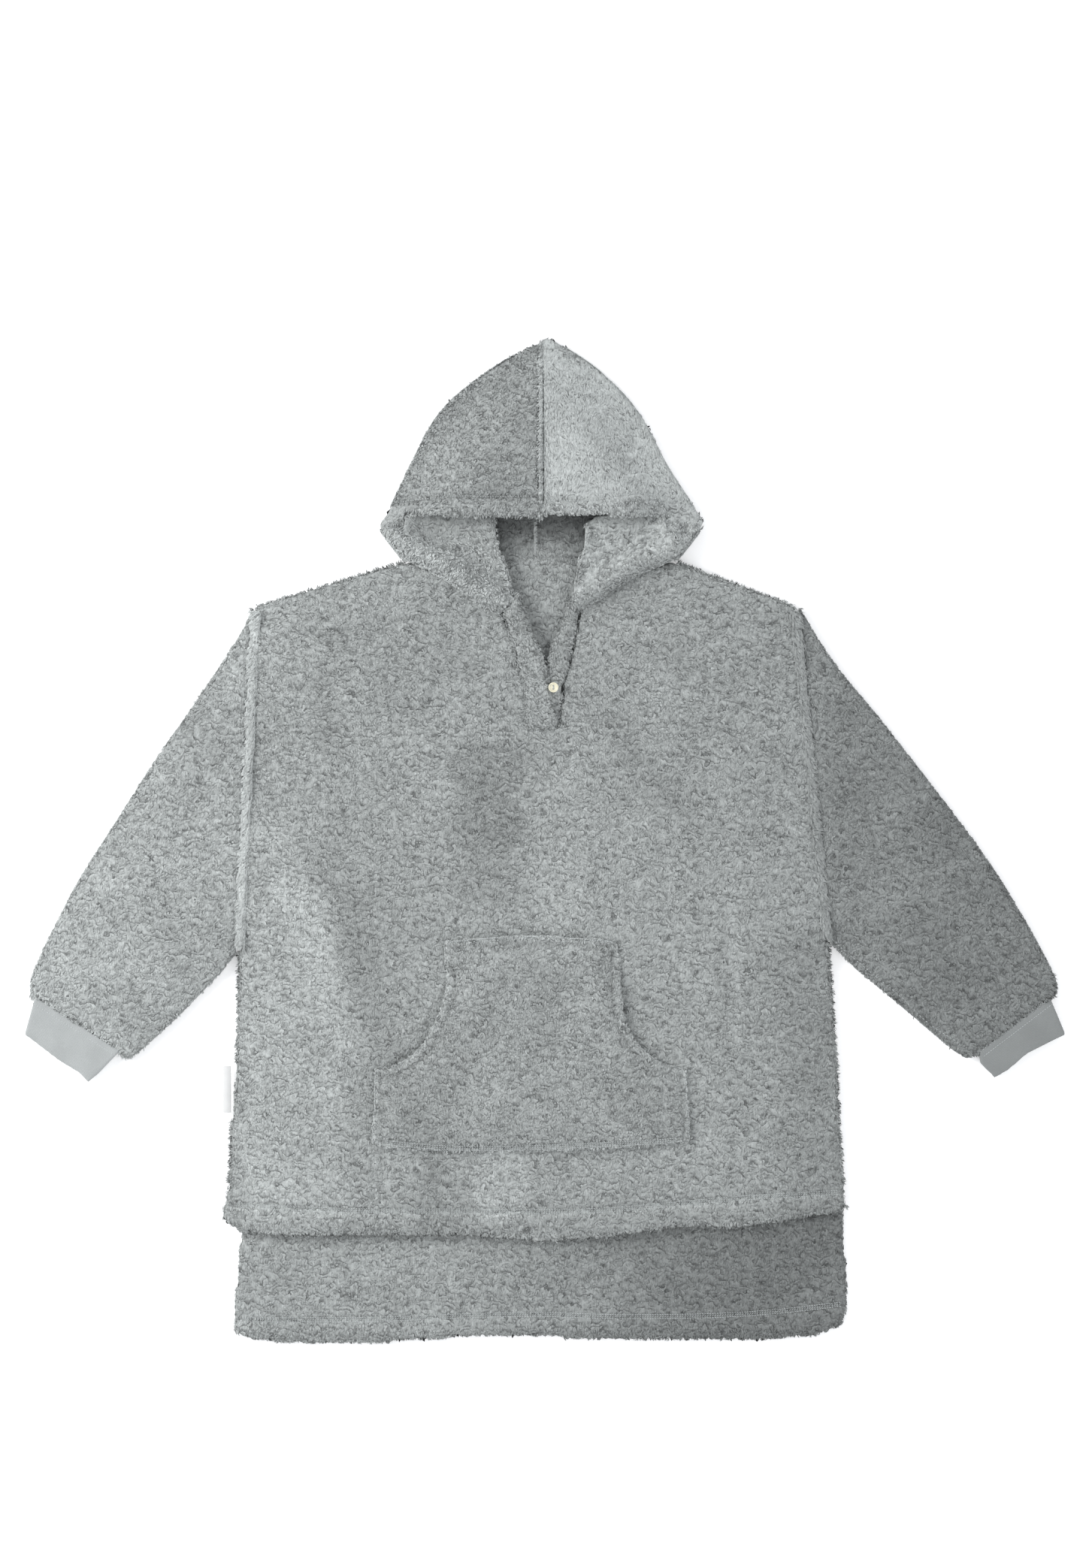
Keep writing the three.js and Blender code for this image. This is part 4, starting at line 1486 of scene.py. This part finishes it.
def outer_face(points, normals):
    """Leaves out the faces inside the cavity."""
    roof_inside = (normals[:, 2] < -0.25) & (points[:, 2] > 9 * MM)
    back_inside = (normals[:, 2] > 0.2) & (points[:, 2] < 8.5 * MM) & (points[:, 1] > neck_fold_y + 2 * MM)
    return ~(roof_inside | back_inside)


def on_roof(points, normals):
    return outer_face(points, normals) & (above_brim(points) > 13 * MM) & (normals[:, 2] > -0.4)


def on_brim(points, normals):
    up = above_brim(points)
    near = (up <= 13 * MM) & (points[:, 1] > BRIM_Y - 12 * MM) & (points[:, 2] > 24 * MM)
    return outer_face(points, normals) & near & (normals[:, 2] > -0.5)


def on_cheek(points, normals):
    below = (points[:, 1] < BRIM_Y - 12 * MM) & (points[:, 2] > 9 * MM)
    return outer_face(points, normals) & below & (normals[:, 2] > -0.3)


def on_inside(points, normals):
    """The back of the hood, seen through its opening."""
    seen = (points[:, 1] < 0.45) & (np.abs(points[:, 0]) < 0.12)
    return (normals[:, 2] > 0.5) & (points[:, 2] < 8.5 * MM) & seen


def on_roll(points):
    return distance(points, cheek_edges) < 22 * MM


def away_from_edges(edges, down=0.0):
    """A nap that points outwards over the nearest edge."""
    middles = edges.mean(1)
    tree = KDTree(len(middles))
    for index, place_ in enumerate(middles):
        tree.insert((*place_, 0), index)
    tree.balance()
    runs = unit(edges[:, 1] - edges[:, 0])
    across = np.stack([runs[:, 1], -runs[:, 0]], axis=1)
    across *= np.where(across[:, 1:] > 0, -1, 1)

    def direction(points):
        nearest = [tree.find((x, y, 0))[1] for x, y in points[:, :2]]
        turn = waves(points, 0.05, 102) * 0.35
        c, s = np.cos(turn), np.sin(turn)
        x, y = across[nearest].T
        return np.stack([x * c - y * s, x * s + y * c, np.full(len(points), down)], axis=1)
    return direction


def roof_tone(side):
    # left half: painted shade beside the middle seam; right half: lighter all over with a dark and a pale
    # patch, painted sheen and shade of its stroked nap
    def tone(points):
        if side == "left":
            return 0.94 - 0.06 * bump(points[:, 0], 8 * MM, 10 * MM) + 0.05 * waves(points, 0.1, 103)
        dark_spot = 0.10 * capsule(points, (80, 455), (95, 458), 18, 26)
        pale_spot = 0.07 * capsule(points, (90, 410), (140, 440), 14, 20)
        return 1.20 - (dark_spot - pale_spot) + 0.03 * waves(points, 0.1, 104)

    # painted shade in the groove of the brim's stitching; on the brim's roll a painted highlight on the left
    # half and painted shade on the right half
    def with_brim(points):
        up = above_brim(points)
        groove, roll = (0.2, 0.06) if side == "left" else (0.1, -0.12)
        return tone(points) - groove * bump(up, STITCHED, 5 * MM) + roll * bump(up, 3 * MM, 10 * MM)
    return with_brim


# painted light and shade: the left cheek faces the light and is made lighter than the right one
CHEEK_LIGHT_AND_SHADE = {"left": 1.27, "right": 1.08}


def cheek_tone(side):
    def tone(points):
        edge = distance(points, cheek_edges)
        base = 0.03 * waves(points, 0.08, 105) + CHEEK_LIGHT_AND_SHADE[side]
        # a painted highlight along the left roll and on the roll's top, painted shade under the brim and in
        # the hollow behind the roll
        pale = 0.04 * capsule(points, (-140, 350), (-60, 300), 14, 20) if side == "left" else 0.0
        under_brim = 0.22 * ease(points[:, 1], 0.352, 0.380) * ease(edge, 14 * MM, 30 * MM)
        hollow = 0.16 * bump(edge, 36 * MM, 14 * MM)
        return base + pale + 0.06 * bump(edge, 16 * MM, 14 * MM) - hollow - under_brim
    return tone


def inside_tone(points):
    """The light falls off quickly under the brim."""
    return 0.92 - 0.5 * ease(points[:, 1], 0.338, 0.375)


def skin_tone(side):
    """The cloth takes the roof's tone above and the cavity's tone inside, and none underneath."""
    def tone(points):
        cavity = (points[:, 2] > 3.8 * MM) & (points[:, 1] < 0.45)
        low = np.where(cavity, inside_tone(points), 1.0)
        return np.where(points[:, 2] > 9 * MM, roof_tone(side)(points), low)
    return tone


hood_pile = {}
for side in OUT:
    cloth = hood[side]
    style = DENSE_CURLS if side == "left" else SMOOTH
    heading = (-0.2, -1.0) if side == "left" else (0.05, -1.0)
    fibre = pile if side == "left" else pile_smooth
    roof = grow_pile(f"hood_{side}_pile", cloth, on_roof, nap_towards(*heading, swirl=0.4), style, fibre,
                     tone=roof_tone(side), seed=110)
    brim = grow_pile(f"hood_{side}_brim_pile", cloth, on_brim,
                     nap_towards(OUT[side] * 0.15, -1.0, -0.3, swirl=0.5), FRINGE,
                     tone=roof_tone(side), seed=111)
    roll = grow_pile(f"hood_{side}_roll_pile", cloth, lambda p, n: on_cheek(p, n) & on_roll(p),
                     away_from_edges(cheek_edges), FRINGE, tone=cheek_tone(side), seed=112)
    inner = {"left": (0.6, -0.7), "right": (0.7, 0.6)}[side]
    cheek = grow_pile(f"hood_{side}_cheek_pile", cloth, lambda p, n: on_cheek(p, n) & ~on_roll(p),
                      nap_towards(*inner, swirl=0.4), CURLY if side == "left" else SMOOTH,
                      tone=cheek_tone(side), seed=113)
    under = grow_pile(f"hood_{side}_underside_pile", cloth,
                      lambda p, n: (n[:, 2] < -0.4) & (p[:, 2] < 4 * MM),
                      nap_towards(0.0, 1.0), UNDERSIDE, seed=114)
    back = grow_pile(f"hood_{side}_inside_pile", cloth, on_inside,
                     nap_towards(0.0, -1.0, swirl=0.2), SMOOTH, pile_inside, tone=inside_tone, seed=115)
    shade_skin(cloth, skin_tone(side))
    hood_pile[side] = [roof, brim, roll, cheek, under, back]
    place_all([cloth, *hood_pile[side]], "fleece", bend="hood")

# %% Middle seam of the hood
RIDGE_STYLE = {**SMOOTH, "length": 5.0, "short": 3.0, "rise": 0.8, "per": 1}


def make_ridge():
    ridge = voxel_skin("hood_ridge", cad_copy("hood_centre_seam"), 2.0 * MM, ground)
    soften(ridge, 2)
    points = get_points(ridge)
    points[:, 0] *= 0.9
    shape_hood(points, lift=1.6 * MM)
    set_points(ridge, points)
    # the ridge is made as light as the right half of the hood: a painted highlight on the raised seam
    fluff = grow_pile("hood_ridge_pile", ridge,
                      lambda p, n: (n[:, 2] > 0.0) & (p[:, 2] > 12 * MM) & (p[:, 1] > BRIM_Y),
                      nap_towards(-0.5, -0.8, swirl=0.3), RIDGE_STYLE,
                      tone=lambda p: 1.2 * everywhere(p), seed=120)
    place_all([ridge, fluff], "fleece", bend="hood")
    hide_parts("hood_centre_seam")


make_ridge()
hood_top = {side: surface_under(cloth) for side, cloth in hood.items()}
brim_rows = [
    (midline(f"hood_{side}_brim", 0) + np.array([0, STITCHED]), hood_top[side], {**COVER, "rise": 1.6})
    for side in ("left", "right")
]
stitching("brim_stitches", brim_rows, body="hood")
back_seam_line = midline("hood_back_seam", 1)
back_rows = [(back_seam_line, lambda x, y: 7.6 * MM, {**COVER, "step": 3.6})]
stitching("hood_back_stitches", back_rows, "hood_back_seam", body="hood")

# %% [markdown]
# ## Placket
# Below the lapels the neck opening is edged with two fleece bands. The left one lies on top and hides most
# of the right one; both end in a short row of stitches at the bottom of the opening.

# %% Plackets
def make_placket(side, crown, heading, tone):
    node = f"{side}_placket"
    edges = outline_segments(node)
    band = voxel_skin(f"{side}_placket_cloth", cad_copy(node), 2.8 * MM, ground)
    soften(band, 3)
    points = get_points(band)
    reach = ease(distance(points, edges), 0, 9 * MM)
    points[:, 2] += crown * MM * reach - 5.5 * MM * (1 - ease(points[:, 1], 0.131, 0.168))
    under_lapel = ease(points[:, 1], 0.245, 0.280)
    points[:, 2] += 9 * MM * under_lapel * reach
    points[:, 1] += 16 * MM * under_lapel
    set_points(band, points)

    def clear_of_button(p, n):
        return (n[:, 2] > -0.3) & (np.hypot(p[:, 0] - button_at.x, p[:, 1] - button_at.y) > 10 * MM)

    fluff = grow_pile(f"{side}_placket_pile", band, clear_of_button, nap_towards(*heading, swirl=0.5), FRINGE,
                      tone=tone, seed=131)
    place_all([band, fluff], "fleece")
    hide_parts(node)
    return band


button_low, button_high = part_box("button")
button_at = (button_low + button_high) / 2
left_placket = make_placket("left", 3.0, (0.8, -0.6), lambda p: 0.98 * everywhere(p))
right_placket = make_placket("right", 1.5, (0.6, -0.8), lambda p: 0.92 * everywhere(p))
box_low, box_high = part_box("placket_stitch_box")
end_row = np.array([[box_low.x - 6 * MM, box_low.y], [box_high.x, box_low.y + 1 * MM]])
left_height = surface_under(left_placket)
end_rows = [(end_row, lambda x, y: max(left_height(x, y), front_height(x, y)), {**COVER, "rise": 0.8})]
stitching("placket_stitches", end_rows, "placket_stitch_box")

# %% [markdown]
# ## Button and label
# The button keeps the frame's shape, with its two holes, and only gets its edges rounded. Thread runs from
# hole to hole across its dish and down its shank. The label is a doubled strip of blank satin, caught in
# the side seam.

# %% Button
def bevel_sharp(bm, width):
    sharp = [e for e in bm.edges if len(e.link_faces) == 2 and e.calc_face_angle(0) > math.radians(40)]
    bmesh.ops.bevel(bm, geom=sharp, offset=width, segments=2, affect="EDGES", profile=0.5, material=-1)


def rounded(bm, width):
    """Joins the loose triangles of each flat face, so that only real edges are bevelled."""
    bmesh.ops.dissolve_limit(bm, angle_limit=math.radians(3), verts=bm.verts, edges=bm.edges)
    bevel_sharp(bm, width)
    bmesh.ops.recalc_face_normals(bm, faces=bm.faces)
    return bm


def make_button():
    button = bm_object("resin_button", rounded(cad_copy("button"), 0.3 * MM), resin)
    place(button, "button", body="button_on_shank")
    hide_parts("button")
    bm = rounded(cad_copy("button_thread"), 0.3 * MM)
    dish = button_high.z - 0.6 * MM
    for shift in (-0.35, 0.35):
        spot = Matrix.Translation((button_at.x + shift * MM, button_at.y, dish))
        bead = spot @ Matrix.Diagonal((0.3 * MM, 2.6 * MM, 0.5 * MM, 1))
        bmesh.ops.create_icosphere(bm, subdivisions=2, radius=1, matrix=bead)
    shank = bm_object("button_shank_thread", bm, thread)
    place(shank, "thread", body="button_on_shank")
    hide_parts("button_thread")


make_button()


# %% Label
def make_label():
    bm = cad_copy("side_label")
    bmesh.ops.subdivide_edges(bm, edges=bm.edges, cuts=7, use_grid_fill=True)
    bevel_sharp(bm, 0.25 * MM)
    label = bm_object("blank_label", bm, satin)
    points = get_points(label)
    low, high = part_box("side_label")
    across = (high.x - points[:, 0]) / (high.x - low.x)
    points[:, 2] += 1.4 * MM * np.sin(across * 2.6) + 0.35 * MM * np.sin(points[:, 1] / MM * 0.16) * across
    set_points(label, points)
    place(label, "label", body="label")
    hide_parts("side_label")


make_label()
print("button and label ready")
